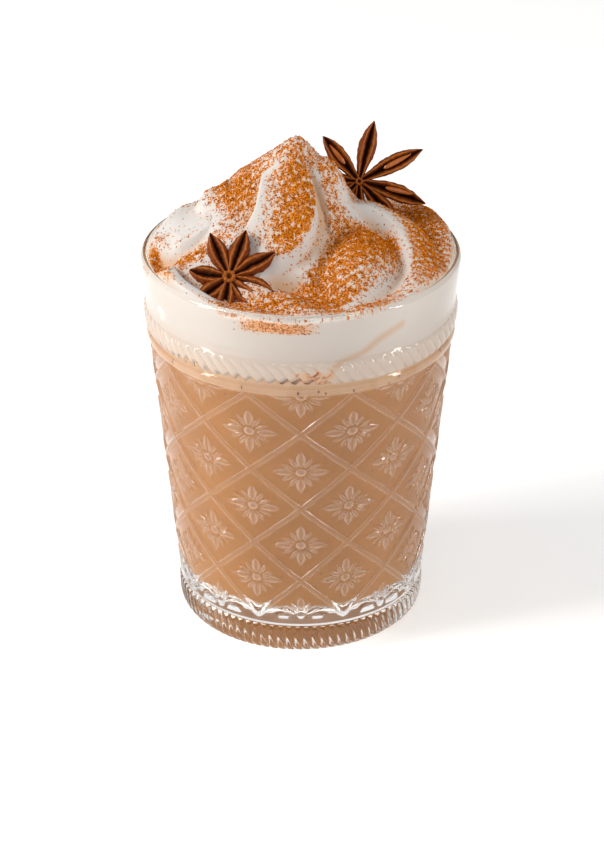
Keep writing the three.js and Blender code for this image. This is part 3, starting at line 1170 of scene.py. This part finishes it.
@dataclass(frozen=True)
class Rope:
    """A long lobe along a crest line. scoop hollows out its right-hand side, or its left if below 0."""

    line: tuple[Triple, ...]
    half: float
    round_down: float
    scoop: float = 0.0
    skirt: float = 60.0
    crest_edge: float = 0.35
    least_hollow: float = 0.1

    def height(self, x: Array, y: Array, floor: Array) -> Array:
        """The lobe's height.

        Args:
            x: Places across.
            y: Places along.
            floor: Height of the cream's floor there.

        Returns:
            The height over each spot.
        """
        near = Nearest.to(fine_line(self.line), x, y)
        out = near.off / self.half
        drop = self.round_down * (1 - dome(out)) + self.skirt * np.maximum(0, out - 1)
        if self.scoop:
            eased = np.sqrt(near.off ** 2 + self.crest_edge) - math.sqrt(self.crest_edge)
            deep = np.maximum(near.height - floor, self.least_hollow)
            drop = np.where(near.side * self.scoop < 0, deep * (1 - np.exp(-eased / abs(self.scoop))), drop)
        return near.height - drop


@dataclass(frozen=True)
class Fold:
    """A step in the cream along a line: up on its left-hand side when step is above 0."""

    line: tuple[Pair, ...]
    step: float
    reach: float
    edge: float = 0.32
    fade: float = 0.6

    def height(self, x: Array, y: Array) -> Array:
        """How far the fold lifts or lowers the cream.

        Args:
            x: Places across.
            y: Places along.

        Returns:
            The lift at each spot.
        """
        near = Nearest.to(fine_line(self.line), x, y)
        share = np.sin(np.pi * np.clip(near.along, 0, 1)) ** self.fade
        lift = 0.5 * self.step * share * np.tanh(near.side * near.off / self.edge)
        return lift * np.exp(-near.off / self.reach)


@dataclass(frozen=True)
class Sprinkle:
    """A patch where more cinnamon fell."""

    middle: Pair
    half: Pair
    weight: float

    def share(self, x: Array, y: Array) -> Array:
        """How thickly it lies over each spot."""
        return self.weight * np.exp(-patch(x, y, self.middle, self.half))


@dataclass(frozen=True)
class WallPatch:
    """Cinnamon that shows through the glass: its middle and half width, and the heights where it fades."""

    middle: float
    half: float
    power: int
    none: float
    full: float
    weight: float

    def share(self, x: Array, z: Array) -> Array:
        """How thickly it lies at each spot."""
        beside = np.exp(-((x - self.middle) / self.half) ** self.power)
        return self.weight * beside * smooth_step(self.none, self.full, z)


@dataclass
class WhippedCream:
    """The heap of cream inside the rim: lobes that blend, folds along lines, and the cinnamon on it."""

    glass: Tumbler
    bottom: float = 89.4
    level: float = 108.4
    slope: float = 0.03
    blend: float = 0.7
    into_wall: float = 0.1
    under_rim: float = 0.5
    edge_width: float = 1e-3
    grid: int = 270
    wall_rows: int = 24
    finish: DustedCream = field(default_factory=DustedCream)
    # Unevenness: its height, then the length, the bend's length and the bend of each of two waves
    sway: float = 0.35
    sway_across: Triple = (3.1, 5.3, 1.3)
    sway_along: Triple = (3.7, 6.1, 1.1)
    # The lower edge against the glass: the height, count and start of each wave
    edge_waves: tuple[Triple, ...] = ((0.6, 3, 1), (0.4, 7, 0), (0.3, 16, 2))
    # A pocket of air at the wall: degrees round, height and half width
    pocket: Triple = (-63.0, 100.0, 1.3)
    # Painted shade in hollows: how far round them is looked, and the depths where the painted shade starts
    # and is full
    shade_reach: float = 3.6
    shade_ways: int = 8
    shade_depths: Pair = (0.3, 2.5)
    # Loose powder: its least share, what bare strips lose, the slopes it keeps off, and its clumps
    least_dust: float = 0.07
    bare: float = 0.93
    steep: Pair = (0.05, 0.6)
    clump_waves: int = 14
    clump_sizes: Pair = (0.9, 3.0)
    clump_mean: float = 0.9
    clump_swing: float = 0.42
    clump_limits: Pair = (0.15, 1.7)
    # What shows on the wall: millimetres in a degree, a tea streak, painted shade that deepens towards the
    # foot, and cinnamon
    degree: float = 0.7
    streak: tuple[Pair, ...] = ((27.5, 103), (21, 100.5), (16, 97), (10, 94.5), (6.5, 90))
    streak_half: float = 1.4
    streak_share: float = 0.85
    # Painted shade over the whole wall, with more of it towards the foot
    wall_shade: float = 0.16
    foot_shade: float = 0.3
    foot_shade_heights: Pair = (99.0, 90.0)
    wall_patches: tuple[WallPatch, ...] = (
        WallPatch(-6, 9, 6, 104.0, 105.0, 0.8),
        WallPatch(3, 5, 4, 93.5, 91.5, 0.48),
    )
    peak: Peak = Peak(
        (-1.2, 4.0, 141.0),
        ((0, 1.35), (45, 1.25), (90, 1.0), (135, 0.95), (160, 0.87), (180, 0.8), (225, 0.92), (262, 1.03),
         (282, 1.15), (312, 1.5), (340, 1.3)),
    )
    mounds: tuple[Mound, ...] = (
        Mound((6.3, 3.5), 112, (9.3, 11), 23.5),
        Mound((-19, 3), 108, (11, 13), 19.6),
        Mound((-30.5, 7), 100, (13, 21), 18.6),
        Mound((-4, 14), 103, (27, 25), 26),
        Mound((14.5, -11.5), 100, (18, 24), 18.7),
        Mound((-20, -9), 100, (21, 23), 16.5),
        Mound((-24, 3.5), 119, (5.0, 6.5), 7.2),
    )
    ropes: tuple[Rope, ...] = (
        Rope(((18, 33, 109), (29, 25, 112.5), (36, 13, 113.5), (38.5, 1, 112.5), (37.5, -11, 110.5),
              (33.5, -23, 108.5)), 10, 8),
        Rope(((-22, 30, 110), (0, 37, 110), (22, 30, 110)), 10, 7),
        Rope(((7, 1, 121), (12.5, 1, 122.5), (16.3, 2, 122.5), (21, 1.5, 121), (25.8, -1.5, 118.5),
              (29, -8.6, 115.5), (30.6, -18, 113.2), (29.5, -27, 111), (26.5, -31, 109.8),
              (21.5, -33.5, 109), (15.8, -36, 108.7), (9, -40, 107.5)), 9, 7, scoop=4.2, crest_edge=1.2),
        Rope(((-16, -22, 113), (-9, -27, 111.5), (-1, -32, 110), (5, -37, 108)), 6.5, 5),
        Rope(((-36, -12, 110), (-34.5, -16, 112), (-33, -21, 112.6), (-29, -27, 111.6), (-23, -32, 109.5)),
             4.6, 4, scoop=-2.0),
    )
    folds: tuple[Fold, ...] = (
        Fold(((-0.6, 1), (2.2, -2.5), (4, -6), (4.4, -10), (3.2, -15), (-0.6, -19.8), (-6, -22.5),
              (-12, -21)), -6, 5),
        Fold(((-4.5, 0), (-6, -2.3), (-10.4, -3.4), (-11.8, -8.4), (-12.6, -11.3), (-14, -13), (-16, -15)),
             5.6, 5),
        Fold(((1.5, 0), (4.2, -2.5), (6, -4.5), (7.6, -7.5), (7.8, -11)), 4, 3.5),
        Fold(((-41, 4), (-38.5, -3), (-34.5, -7.5), (-29, -9), (-24, -8)), 4.8, 3.5),
        Fold(((-5, 10), (-11, 15), (-16, 21), (-17, 28), (-13, 34)), 4.5, 5),
        Fold(((4, 10), (5.5, 17), (2, 25), (-5, 31)), -4.5, 5),
        Fold(((18, 27), (12, 31), (4, 34), (-6, 36)), 3, 4),
    )
    pits: tuple[Mound, ...] = (
        Mound((-37, -8), 0, (4.8, 6.5), 3.0, power=1.6),
        Mound((-3.5, -25.3), 0, (7.5, 3.6), 3.6, power=1.6),
        Mound((-18.6, 4), 0, (2.6, 5), 1.3, power=1.6),
    )
    sprinkles: tuple[Sprinkle, ...] = (
        Sprinkle((-18.5, -1), (8, 8), 1.05),
        Sprinkle((-2, 2), (8, 7), 0.22),
        Sprinkle((-0.5, -9), (5.5, 8), 1.05),
        Sprinkle((-2.5, -17), (5, 4), 0.85),
        Sprinkle((9.5, 0), (4.5, 7), 0.42),
        Sprinkle((21.5, -7.5), (6, 7.5), 1.3),
        Sprinkle((14, -14), (9, 8), 0.95),
        Sprinkle((5, -25), (10, 7), 0.7),
        Sprinkle((34.5, -6), (6, 19), 0.9),
        Sprinkle((31, 17), (9, 10), 0.9),
        Sprinkle((-28.4, -12.6), (6, 2.6), 0.95),
        Sprinkle((-40.5, -4), (2.6, 10), 1.0),
        Sprinkle((-36, -20), (3, 7), 0.95),
        Sprinkle((-11, -34), (13, 4.5), 0.68),
        Sprinkle((12, -32), (11, 5), 0.75),
        Sprinkle((-8, 22), (18, 10), 0.5),
    )
    bare_strips: tuple[tuple[float, tuple[Pair, ...]], ...] = (
        (1.9, ((15, 1.5), (20, 2), (24.6, 0), (27.8, -6), (28.3, -14.5), (26.9, -21), (20.5, -28),
               (12, -34))),
        (1.7, ((3.4, -2), (5.4, -6), (6.2, -10.5), (4.6, -15.5), (1, -20.8), (-5, -24), (-12, -23))),
        (1.2, ((-5, -2), (-9.2, -4), (-10.6, -8.4), (-11.4, -11.3), (-13, -14))),
        (3.0, ((13, -1.5), (17, -0.5), (21.5, -1.5))),
        (2.2, ((-35, -14), (-33.5, -20), (-29.5, -26), (-23, -31))),
        (6.5, ((-37, 6), (-31, 1), (-26, -6))),
    )

    def height(self, x: Array, y: Array) -> Array:
        """Height of the cream's top.

        Args:
            x: Places across, in millimetres.
            y: Places along.

        Returns:
            The heights.
        """
        floor = self.level + self.slope * y
        tops = [floor, self.peak.height(x, y)]
        tops += [mound.height(x, y) for mound in self.mounds]
        tops += [rope.height(x, y, floor) for rope in self.ropes]
        stack = np.array(tops)
        top = stack.max(axis=0)
        whole = top + self.blend * np.log(np.exp((stack - top) / self.blend).sum(axis=0))
        whole = whole + sum(fold.height(x, y) for fold in self.folds)
        whole = whole - sum(np.maximum(pit.height(x, y), 0) for pit in self.pits)
        return whole + self.sway * (self.wave(x, y, *self.sway_across) * self.wave(y, x, *self.sway_along))

    @staticmethod
    def wave(place: Array, beside: Array, length: float, bend_length: float, bend: float) -> Array:
        """A bent wave, from -1 to 1."""
        return np.sin(place / length + bend * np.sin(beside / bend_length))

    def dust(self, x: Array, y: Array, facing: Array) -> Array:
        """How thickly cinnamon lies.

        Args:
            x: Places across.
            y: Places along.
            facing: How far the surface faces up, 0 to 1.

        Returns:
            Shares from 0 to 1.
        """
        fallen = self.least_dust + sum(fall.share(x, y) for fall in self.sprinkles)
        for half, line in self.bare_strips:
            near = Nearest.to(fine_line(line, 3), x, y)
            fallen = fallen * (1 - self.bare * np.exp(-(near.off / half) ** 4))
        return np.clip(fallen * self.clumps(x, y) * smooth_step(*self.steep, facing), 0, 1)

    def clumps(self, x: Array, y: Array) -> Array:
        """How the powder gathers, as many crossing waves.

        Args:
            x: Places across.
            y: Places along.

        Returns:
            Shares round 1, lower between the clumps.
        """
        draw = np.random.default_rng(SEED + 3)
        waves = np.zeros_like(x)
        for length in np.linspace(*self.clump_sizes, self.clump_waves):
            turn, start = draw.uniform(0, 2 * np.pi, 2)
            waves += np.sin(2 * np.pi * (x * np.cos(turn) + y * np.sin(turn)) / length + start)
        gathered = self.clump_mean + self.clump_swing * waves / math.sqrt(self.clump_waves / 2)
        return np.clip(gathered, *self.clump_limits)

    def build(self) -> list[Object]:
        """Makes the cream from a grid that is rounded to a disc, raised to the heap and drawn down the wall.

        Returns:
            The piece.
        """
        cream = start_from(
            "whipped_cream_folds", bpy.ops.mesh.primitive_grid_add, size=2 * MM,
            x_subdivisions=self.grid, y_subdivisions=self.grid,
        )
        points = points_of(cream)
        reach = self.glass.inner(self.level) + self.into_wall
        across, along = points[:, 0].copy(), points[:, 1].copy()
        points[:, 0] = reach * across * np.sqrt(1 - along ** 2 / 2)
        points[:, 1] = reach * along * np.sqrt(1 - across ** 2 / 2)
        points[:, 2] = self.height(points[:, 0], points[:, 1])
        at_wall = np.hypot(points[:, 0], points[:, 1]) > reach - self.edge_width
        points[at_wall, 2] = np.minimum(points[at_wall, 2], self.glass.height - self.under_rim)
        move_points(cream, points)
        self.tag(cream)
        self.draw_down(cream)
        smooth(cream)
        dress(cream, self.finish.material())
        return [settle(cream, "cream", "whipped_cream")]

    def tag(self, cream: Object) -> None:
        """Stores where cinnamon lies, and the painted shade where the cream lies below its surroundings.

        Args:
            cream: The heap, before it is drawn down.
        """
        x, y, z = points_of(cream).T
        tag_points(cream, "dust", self.dust(x, y, rows_of(cream, "normal")[:, 2]))
        turns = np.linspace(0, 2 * math.pi, self.shade_ways, endpoint=False)
        ways = [(self.shade_reach * math.cos(turn), self.shade_reach * math.sin(turn)) for turn in turns]
        # Painted shade: the deeper a spot lies below the cream round it, the darker
        round_about = sum(self.height(x + dx, y + dy) for dx, dy in ways) / len(ways)
        start, full = self.shade_depths
        tag_points(cream, "shade_and_streak", np.clip((round_about - z - start) / (full - start), 0, 1))

    def draw_down(self, cream: Object) -> None:
        """Extrudes the rim of the heap down the wall in rows, and closes its bottom.

        Args:
            cream: The heap.
        """
        rim = len(cream.data.vertices)
        edit_edges(cream)
        bpy.ops.mesh.select_non_manifold()
        for _ in range(self.wall_rows + 1):
            bpy.ops.mesh.extrude_region_move(TRANSFORM_OT_translate={"value": (0, 0, -MM)})
        bpy.ops.mesh.merge(type="CENTER")
        bpy.ops.object.mode_set(mode="OBJECT")
        points = points_of(cream)
        count = (len(points) - rim - 1) // self.wall_rows
        angle, height, half = self.pocket
        for row in range(self.wall_rows):
            ring = slice(rim + row * count, rim + (row + 1) * count)
            turn = np.arctan2(points[ring, 1], points[ring, 0])
            top = points[ring, 2] + (row + 1)
            waves = sum(rise * np.sin(many * turn + start) for rise, many, start in self.edge_waves)
            foot = self.bottom + waves
            z = top + (foot - top) * (row + 1) / self.wall_rows
            beside = (np.degrees(turn) + 90 - angle) * self.degree
            dent = np.exp(-(beside ** 2 + (z - height) ** 2) / half ** 2)
            out = self.glass.inner(z) + self.into_wall - dent
            points[ring] = np.stack([out * np.cos(turn), out * np.sin(turn), z], axis=1)
        points[-1] = (0, 0, self.bottom)
        move_points(cream, points)
        self.tag_wall(cream, rim)

    def tag_wall(self, cream: Object, rim: int) -> None:
        """Clears the cinnamon from the cream's wall, but for a little at the front, and paints shade on the
        wall, deeper towards its foot, along with the tea streak.

        Args:
            cream: The cream.
            rim: Number of the first vertex below the heap's rim.
        """
        x, y, z = points_of(cream)[rim:].T
        front = y < 0
        dust = np.max([seen.share(x, z) for seen in self.wall_patches], axis=0) * front
        around = np.degrees(np.arctan2(x, -y)) * self.degree
        off = Nearest.to(fine_line(self.streak), around, z).off
        streak = self.streak_share * np.exp(-(off / self.streak_half) ** 2) * front
        # Painted shade on the wall, deeper towards its foot
        tint = self.wall_shade + self.foot_shade * smooth_step(*self.foot_shade_heights, z)
        for name, values in (("dust", dust), ("shade_and_streak", np.maximum(streak, tint))):
            data = cream.data.attributes[name].data
            whole = np.empty(len(data), dtype=np.float32)
            data.foreach_get("value", whole)
            whole[rim:] = values
            data.foreach_set("value", whole)


@dataclass
class Cinnamon:
    """Loose crumbs of cinnamon on the cream, as real meshes."""

    cream: WhippedCream
    crumbs: int = 26000
    tries_each: int = 10
    small: float = 0.13
    large: float = 0.34
    tall: float = 1.5
    uneven: float = 0.35
    sides: int = 4
    lift: float = 0.3
    off_wall: float = 0.5
    slope_step: float = 0.4
    finish: CinnamonPowder = field(default_factory=CinnamonPowder)

    def scatter(self, draw: np.random.Generator) -> Array:
        """Picks spots where the cream's dust is thick.

        Args:
            draw: Where the random numbers come from.

        Returns:
            One place on the cream for each crumb.
        """
        tries = self.tries_each * self.crumbs
        reach = self.cream.glass.inner(self.cream.level) - self.off_wall
        out = reach * np.sqrt(draw.random(tries))
        turn = 2 * np.pi * draw.random(tries)
        x, y = out * np.cos(turn), out * np.sin(turn)
        z = self.cream.height(x, y)
        tilt_x = (self.cream.height(x + self.slope_step, y) - z) / self.slope_step
        tilt_y = (self.cream.height(x, y + self.slope_step) - z) / self.slope_step
        facing = 1 / np.sqrt(1 + tilt_x ** 2 + tilt_y ** 2)
        kept = np.flatnonzero(draw.random(tries) < self.cream.dust(x, y, facing))[:self.crumbs]
        return np.stack([x, y, z], axis=1)[kept]

    def build(self) -> list[Object]:
        """Shapes one crumb, and copies it to every spot in one piece, each copy uneven in its own way.

        Returns:
            The piece.
        """
        draw = np.random.default_rng(SEED)
        spots = self.scatter(draw)
        crumb = start_from(
            "cinnamon_crumb", bpy.ops.mesh.primitive_cone_add, vertices=self.sides, radius1=MM,
            depth=self.tall * MM,
        )
        shape = points_of(crumb)
        faces = [tuple(face.vertices) for face in crumb.data.polygons]
        bpy.data.objects.remove(crumb)
        size = self.small + (self.large - self.small) * draw.random(len(spots)) ** 2
        rough = 1 + self.uneven * draw.standard_normal((len(spots), len(shape), 3))
        spots[:, 2] += self.lift * size
        crumbs = shape[None] * rough * size[:, None, None] + spots[:, None]
        starts = range(0, len(spots) * len(shape), len(shape))
        numbers = [tuple(start + corner for corner in face) for start in starts for face in faces]
        piece = mesh_piece("cinnamon_crumbs", crumbs.reshape(-1, 3), numbers)
        dress(piece, self.finish.material())
        return [settle(piece, "cream")]


class PodState(Enum):
    """Whether a pod shows a seed in its slit."""

    BARE = "bare"
    SEEDED = "seeded"


@dataclass(frozen=True)
class Pod:
    """One boat-shaped pod: its direction round the star in degrees, its length, and what its slit holds."""

    angle: float
    length: float
    state: PodState = PodState.BARE

    def laid(self, points: Array) -> Array:
        """Turns points that lie along X to the pod's direction."""
        c, s = math.cos(math.radians(self.angle)), math.sin(math.radians(self.angle))
        return points @ np.array([[c, s, 0], [-s, c, 0], [0, 0, 1]])


@dataclass
class StarAnise:
    """A star of pods round a small ring, leaning on the cream."""

    name: str
    node: str
    pods: tuple[Pod, ...]
    middle: Triple
    tip_back: float
    turn: float
    width: float = 5.0
    depth: float = 2.2
    slit: float = 1.9
    lip_share: float = 0.5
    opened: float = 1.3
    pod_grid: tuple[int, int] = (56, 36)
    crisp_angle: float = 70.0
    # Along a pod: share of its length, of its half width and of its depth, and the height of its lips
    stations: Rows = (
        (0.0, 0.0, 0.0, 0.2), (0.06, 0.34, 0.4, 0.6), (0.2, 0.55, 0.6, 1.0), (0.42, 0.92, 0.95, 1.45),
        (0.62, 1.0, 1.0, 1.65), (0.8, 0.72, 0.7, 1.75), (0.92, 0.34, 0.3, 2.05), (1.0, 0.0, 0.0, 2.4),
    )
    # Round a pod from its right side up and over: degrees, then shares of its half width, of the lip's
    # place, of the keel, of the lips' height and of the slit's bottom
    section: Rows = (
        (0, 0.96, 0, 0.3, 0, 0), (18, 0.94, 0, 0, 0.2, 0), (50, 0, 1.2, 0, 0.96, 0), (60, 0, 1, 0, 1, 0),
        (90, 0, 0, 0, 0, 1), (120, 0, -1, 0, 1, 0), (130, 0, -1.2, 0, 0.96, 0), (162, -0.94, 0, 0, 0.2, 0),
        (180, -0.96, 0, 0.3, 0, 0), (225, -0.72, 0, 0.8, 0, 0), (270, 0, 0, 1, 0, 0),
        (315, 0.72, 0, 0.8, 0, 0), (360, 0.96, 0, 0.3, 0, 0),
    )
    # Degrees off the slit's middle: where the lips are palest, how far that spreads, and how far the painted
    # shade in the slit spreads
    pale_at: float = 33.0
    pale_half: float = 7.0
    slit_shade_half: float = 17.0
    # Wrinkles: their height and number, how tight they are across and along the pod, and their shift
    wrinkle: float = 0.05
    wrinkle_waves: int = 5
    wrinkle_across: float = 7.0
    wrinkle_along: float = 40.0
    wrinkle_shift: float = 6.0
    bend: float = 0.05
    # The ring in the middle: its radius, its thickness as a share of that, its height, notches and paleness
    ring: float = 1.25
    ring_share: float = 0.4
    ring_height: float = 0.75
    ring_notch: float = 0.07
    ring_pale: float = 0.7
    ring_grid: tuple[int, int] = (48, 12)
    # A seed: half length and place as shares of the pod's length, half width as a share of the pod's width,
    # half height, taper, and the height at which it lies
    seed_half: float = 0.22
    seed_at: float = 0.6
    seed_width: float = 0.135
    seed_rise: float = 0.8
    seed_taper: float = 0.3
    seed_height: float = 0.75
    seed_grid: tuple[int, int] = (24, 16)
    skin: DryPod = field(default_factory=DryPod)
    seed: GlossySeed = field(default_factory=GlossySeed)

    def put(self, obj: Object) -> None:
        """Moves a piece's vertices from the flat star to its place.

        Args:
            obj: The piece.
        """
        turn = Matrix.Rotation(math.radians(self.turn), 4, "Z")
        tip = Matrix.Rotation(math.radians(self.tip_back), 4, "X")
        place = np.array(Matrix.Translation(Vector(self.middle)) @ turn @ tip)
        move_points(obj, points_of(obj) @ place[:3, :3].T + place[:3, 3])

    def ball(self, name: str, segments: int, rings: int) -> Object:
        """A ball of one millimetre's radius, to be shaped."""
        add = bpy.ops.mesh.primitive_uv_sphere_add
        return start_from(f"{self.name}_{name}", add, segments=segments, ring_count=rings, radius=MM)

    def wrinkles(self, draw: np.random.Generator, points: Array, along: Array) -> Array:
        """Fine waves over a pod's skin.

        Args:
            draw: Where the random numbers come from.
            points: Places on the ball that becomes the pod.
            along: Shares of the pod's length.

        Returns:
            How far each spot is moved, in millimetres.
        """
        waves = np.zeros(len(points))
        for _ in range(self.wrinkle_waves):
            across = points @ draw.normal(0, self.wrinkle_across, 3)
            leant = across + self.wrinkle_along * along * draw.random()
            waves += np.sin(leant + draw.random() * self.wrinkle_shift)
        return self.wrinkle * waves

    def pod_piece(self, number: int, pod: Pod) -> Object:
        """Shapes one pod from a ball whose poles become its heel and tip.

        Args:
            number: The pod's place in the star.
            pod: Its direction, length and state.

        Returns:
            The pod, lying flat in the star.
        """
        ball = self.ball(f"pod_{number}", *self.pod_grid)
        points = points_of(ball)
        along = np.arccos(np.clip(points[:, 2], -1, 1)) / np.pi
        round_it = np.degrees(np.arctan2(points[:, 1], points[:, 0])) % 360
        wide, deep, lips = between(self.stations, along)
        beside, lip, under, top, bottom = between(self.section, round_it)
        opened = self.opened if pod.state is PodState.SEEDED else 1.0
        draw = np.random.default_rng(SEED + number)
        wrinkle = self.wrinkles(draw, points, along)
        bend = self.bend * pod.length * draw.standard_normal() * along ** 2
        y = self.width / 2 * wide * (beside + self.lip_share * opened * lip)
        z = lips * top + (lips - self.slit * opened * wide) * bottom - self.depth * deep * under
        flat = [pod.length * along, y + wrinkle * wide + bend, z + wrinkle * deep]
        move_points(ball, pod.laid(np.stack(flat, axis=1)))
        off_slit = np.abs(round_it - 90)
        tag_points(ball, "lip", np.exp(-((off_slit - self.pale_at) / self.pale_half) ** 2))
        # Painted shade along the slit
        tag_points(ball, "slit", np.exp(-(off_slit / self.slit_shade_half) ** 2))
        return ball

    def seed_piece(self, number: int, pod: Pod) -> Object:
        """Shapes the seed that lies in a pod's slit.

        Args:
            number: The pod's place in the star.
            pod: The pod that holds it.

        Returns:
            The seed, in the flat star.
        """
        ball = self.ball(f"seed_{number}", *self.seed_grid)
        points = points_of(ball)
        points[:, 1] *= 1 - self.seed_taper * points[:, 0]
        points *= (pod.length * self.seed_half, self.width * self.seed_width, self.seed_rise)
        points += (pod.length * self.seed_at, 0, self.seed_height)
        move_points(ball, pod.laid(points))
        return ball

    def ring_piece(self) -> Object:
        """Makes the notched ring in the middle of the star.

        Returns:
            The ring, in the flat star.
        """
        around, across = self.ring_grid
        ring = start_from(
            f"{self.name}_ring", bpy.ops.mesh.primitive_torus_add, major_radius=self.ring * MM,
            minor_radius=self.ring_share * self.ring * MM, major_segments=around, minor_segments=across,
            location=(0, 0, self.ring_height * MM),
        )
        points = points_of(ring)
        notch = 1 + self.ring_notch * np.cos(len(self.pods) * np.arctan2(points[:, 1], points[:, 0]))
        move_points(ring, points * np.stack([notch, notch, notch ** 2], axis=1))
        tag_points(ring, "lip", np.full(len(points), self.ring_pale))
        tag_points(ring, "slit", np.zeros(len(points)))
        return ring

    def build(self) -> list[Object]:
        """Makes the star and its seeds.

        Returns:
            The star, and its seeds as one piece if it has any.
        """
        pods = [self.pod_piece(number, pod) for number, pod in enumerate(self.pods)]
        star = join_all(self.name, [*pods, self.ring_piece()])
        self.put(star)
        smooth(star, self.crisp_angle)
        dress(star, self.skin.material())
        settle(star, "anise", self.node)
        held = [(number, pod) for number, pod in enumerate(self.pods) if pod.state is PodState.SEEDED]
        if not held:
            return [star]
        seeds = join_all(f"{self.name}_seeds", [self.seed_piece(number, pod) for number, pod in held])
        self.put(seeds)
        smooth(seeds)
        dress(seeds, self.seed.material())
        return [star, settle(seeds, "anise")]


@dataclass(frozen=True)
class Softbox:
    """A soft light: its place, size and aim in metres, and its power in watts."""

    name: str
    place: Triple
    size: Pair
    power: float
    colour: Triple = (1.0, 0.985, 0.965)
    aim: Triple = (0.0, 0.0, 0.08)

    def build(self) -> None:
        """Adds the light, which isn't seen through the glass."""
        data = bpy.data.lights.new(self.name, "AREA")
        data.shape = "RECTANGLE"
        data.size, data.size_y = self.size
        data.energy = self.power
        data.color = self.colour
        lamp = bpy.data.objects.new(self.name, data)
        lamp.location = self.place
        lamp.visible_transmission = False
        lamp.rotation_euler = (Vector(self.aim) - Vector(self.place)).to_track_quat("-Z", "Y").to_euler()
        bpy.context.collection.objects.link(lamp)


@dataclass
class Studio:
    """White floor, soft light from the left, and the camera at the photograph's angle."""

    camera_at: Triple = (0.0, -678.5, 417.5)
    camera_pitch: float = 28.087
    lens: float = 115.13
    shift: float = 0.0013
    floor_size: float = 6.0
    floor_gap: float = 0.05
    sky_colour: Colour = (1.0, 1.0, 1.0, 1.0)
    sky_light: float = 0.3
    sky_through_glass: float = 0.9
    lamps: tuple[Softbox, ...] = (
        Softbox("key", (-1.0, -0.25, 0.9), (0.5, 0.5), 10),
        Softbox("left_strip", (-1.1, -0.42, 0.42), (0.16, 0.8), 4),
        Softbox("right_strip", (1.1, -0.4, 0.42), (0.14, 0.8), 5),
        Softbox("front_strip", (0.1, -1.05, 1.0), (1.1, 0.12), 2),
    )
    finish: PaleFloor = field(default_factory=PaleFloor)

    def sky(self) -> bpy.types.World:
        """Wires an even white dome, dimmer as a lamp than where it is seen straight through glass.

        Returns:
            The world.
        """
        made = Shader(bpy.data.worlds.new("studio"))
        through = made.read("LightPath", "Is Transmission Ray", {})
        straight = made.math("MAXIMUM", through - made.read("LightPath", "Diffuse Depth", {}), 0.0)
        strength = straight * (self.sky_through_glass - self.sky_light) + self.sky_light
        dome_light = made.read("Background", 0, {"Color": self.sky_colour, "Strength": strength})
        return made.finish(dome_light, "OutputWorld")

    def camera(self) -> Object:
        """Makes the camera.

        Returns:
            The camera, at the photograph's place.
        """
        data = bpy.data.cameras.new("view")
        data.lens = self.lens
        data.shift_x = self.shift
        camera = bpy.data.objects.new("view", data)
        camera.location = Vector(self.camera_at) * MM
        camera.rotation_euler = (math.radians(90 - self.camera_pitch), 0, 0)
        bpy.context.collection.objects.link(camera)
        return camera

    def build(self) -> list[Object]:
        """Makes the floor, the light and the camera.

        Returns:
            The floor.
        """
        low = (0, 0, -self.floor_gap * MM)
        floor = start_from("floor", bpy.ops.mesh.primitive_plane_add, size=self.floor_size, location=low)
        dress(floor, self.finish.material())
        for lamp in self.lamps:
            lamp.build()
        scene = bpy.context.scene
        scene.world = self.sky()
        scene.view_settings.view_transform = "Standard"
        scene.camera = self.camera()
        return [floor]


FRONT_STAR = StarAnise(
    "front_star_anise", "star_anise_front",
    (Pod(28, 14), Pod(71, 13.5), Pod(115, 13), Pod(178, 10.8),
     Pod(220, 10.6), Pod(262, 11), Pod(308, 12), Pod(338, 13)),
    middle=(-19, -25, 113), tip_back=48, turn=0, width=5.7,
)
BACK_STAR = StarAnise(
    "back_star_anise", "star_anise_back",
    (Pod(128, 16, PodState.SEEDED), Pod(75, 17.2), Pod(26, 19.8, PodState.SEEDED),
     Pod(-15, 19.5, PodState.SEEDED), Pod(-47, 17), Pod(-93, 16), Pod(-140, 15), Pod(174, 15.5)),
    middle=(16, 12, 124.8), tip_back=66, turn=4, width=5.2, depth=2.6, slit=2.3, ring=0.75,
)


def main() -> None:
    """Builds each sub-assembly in order, and reports its pieces."""
    logging.basicConfig(level=logging.INFO, format="%(message)s")
    glass = Tumbler()
    cream = WhippedCream(glass)
    for whole in (Studio(), glass, Latte(glass), cream, FRONT_STAR, BACK_STAR, Cinnamon(cream)):
        for piece in whole.build():
            LOG.info("%s: %d faces", piece.name, len(piece.data.polygons))


if __name__ == "__main__":
    main()
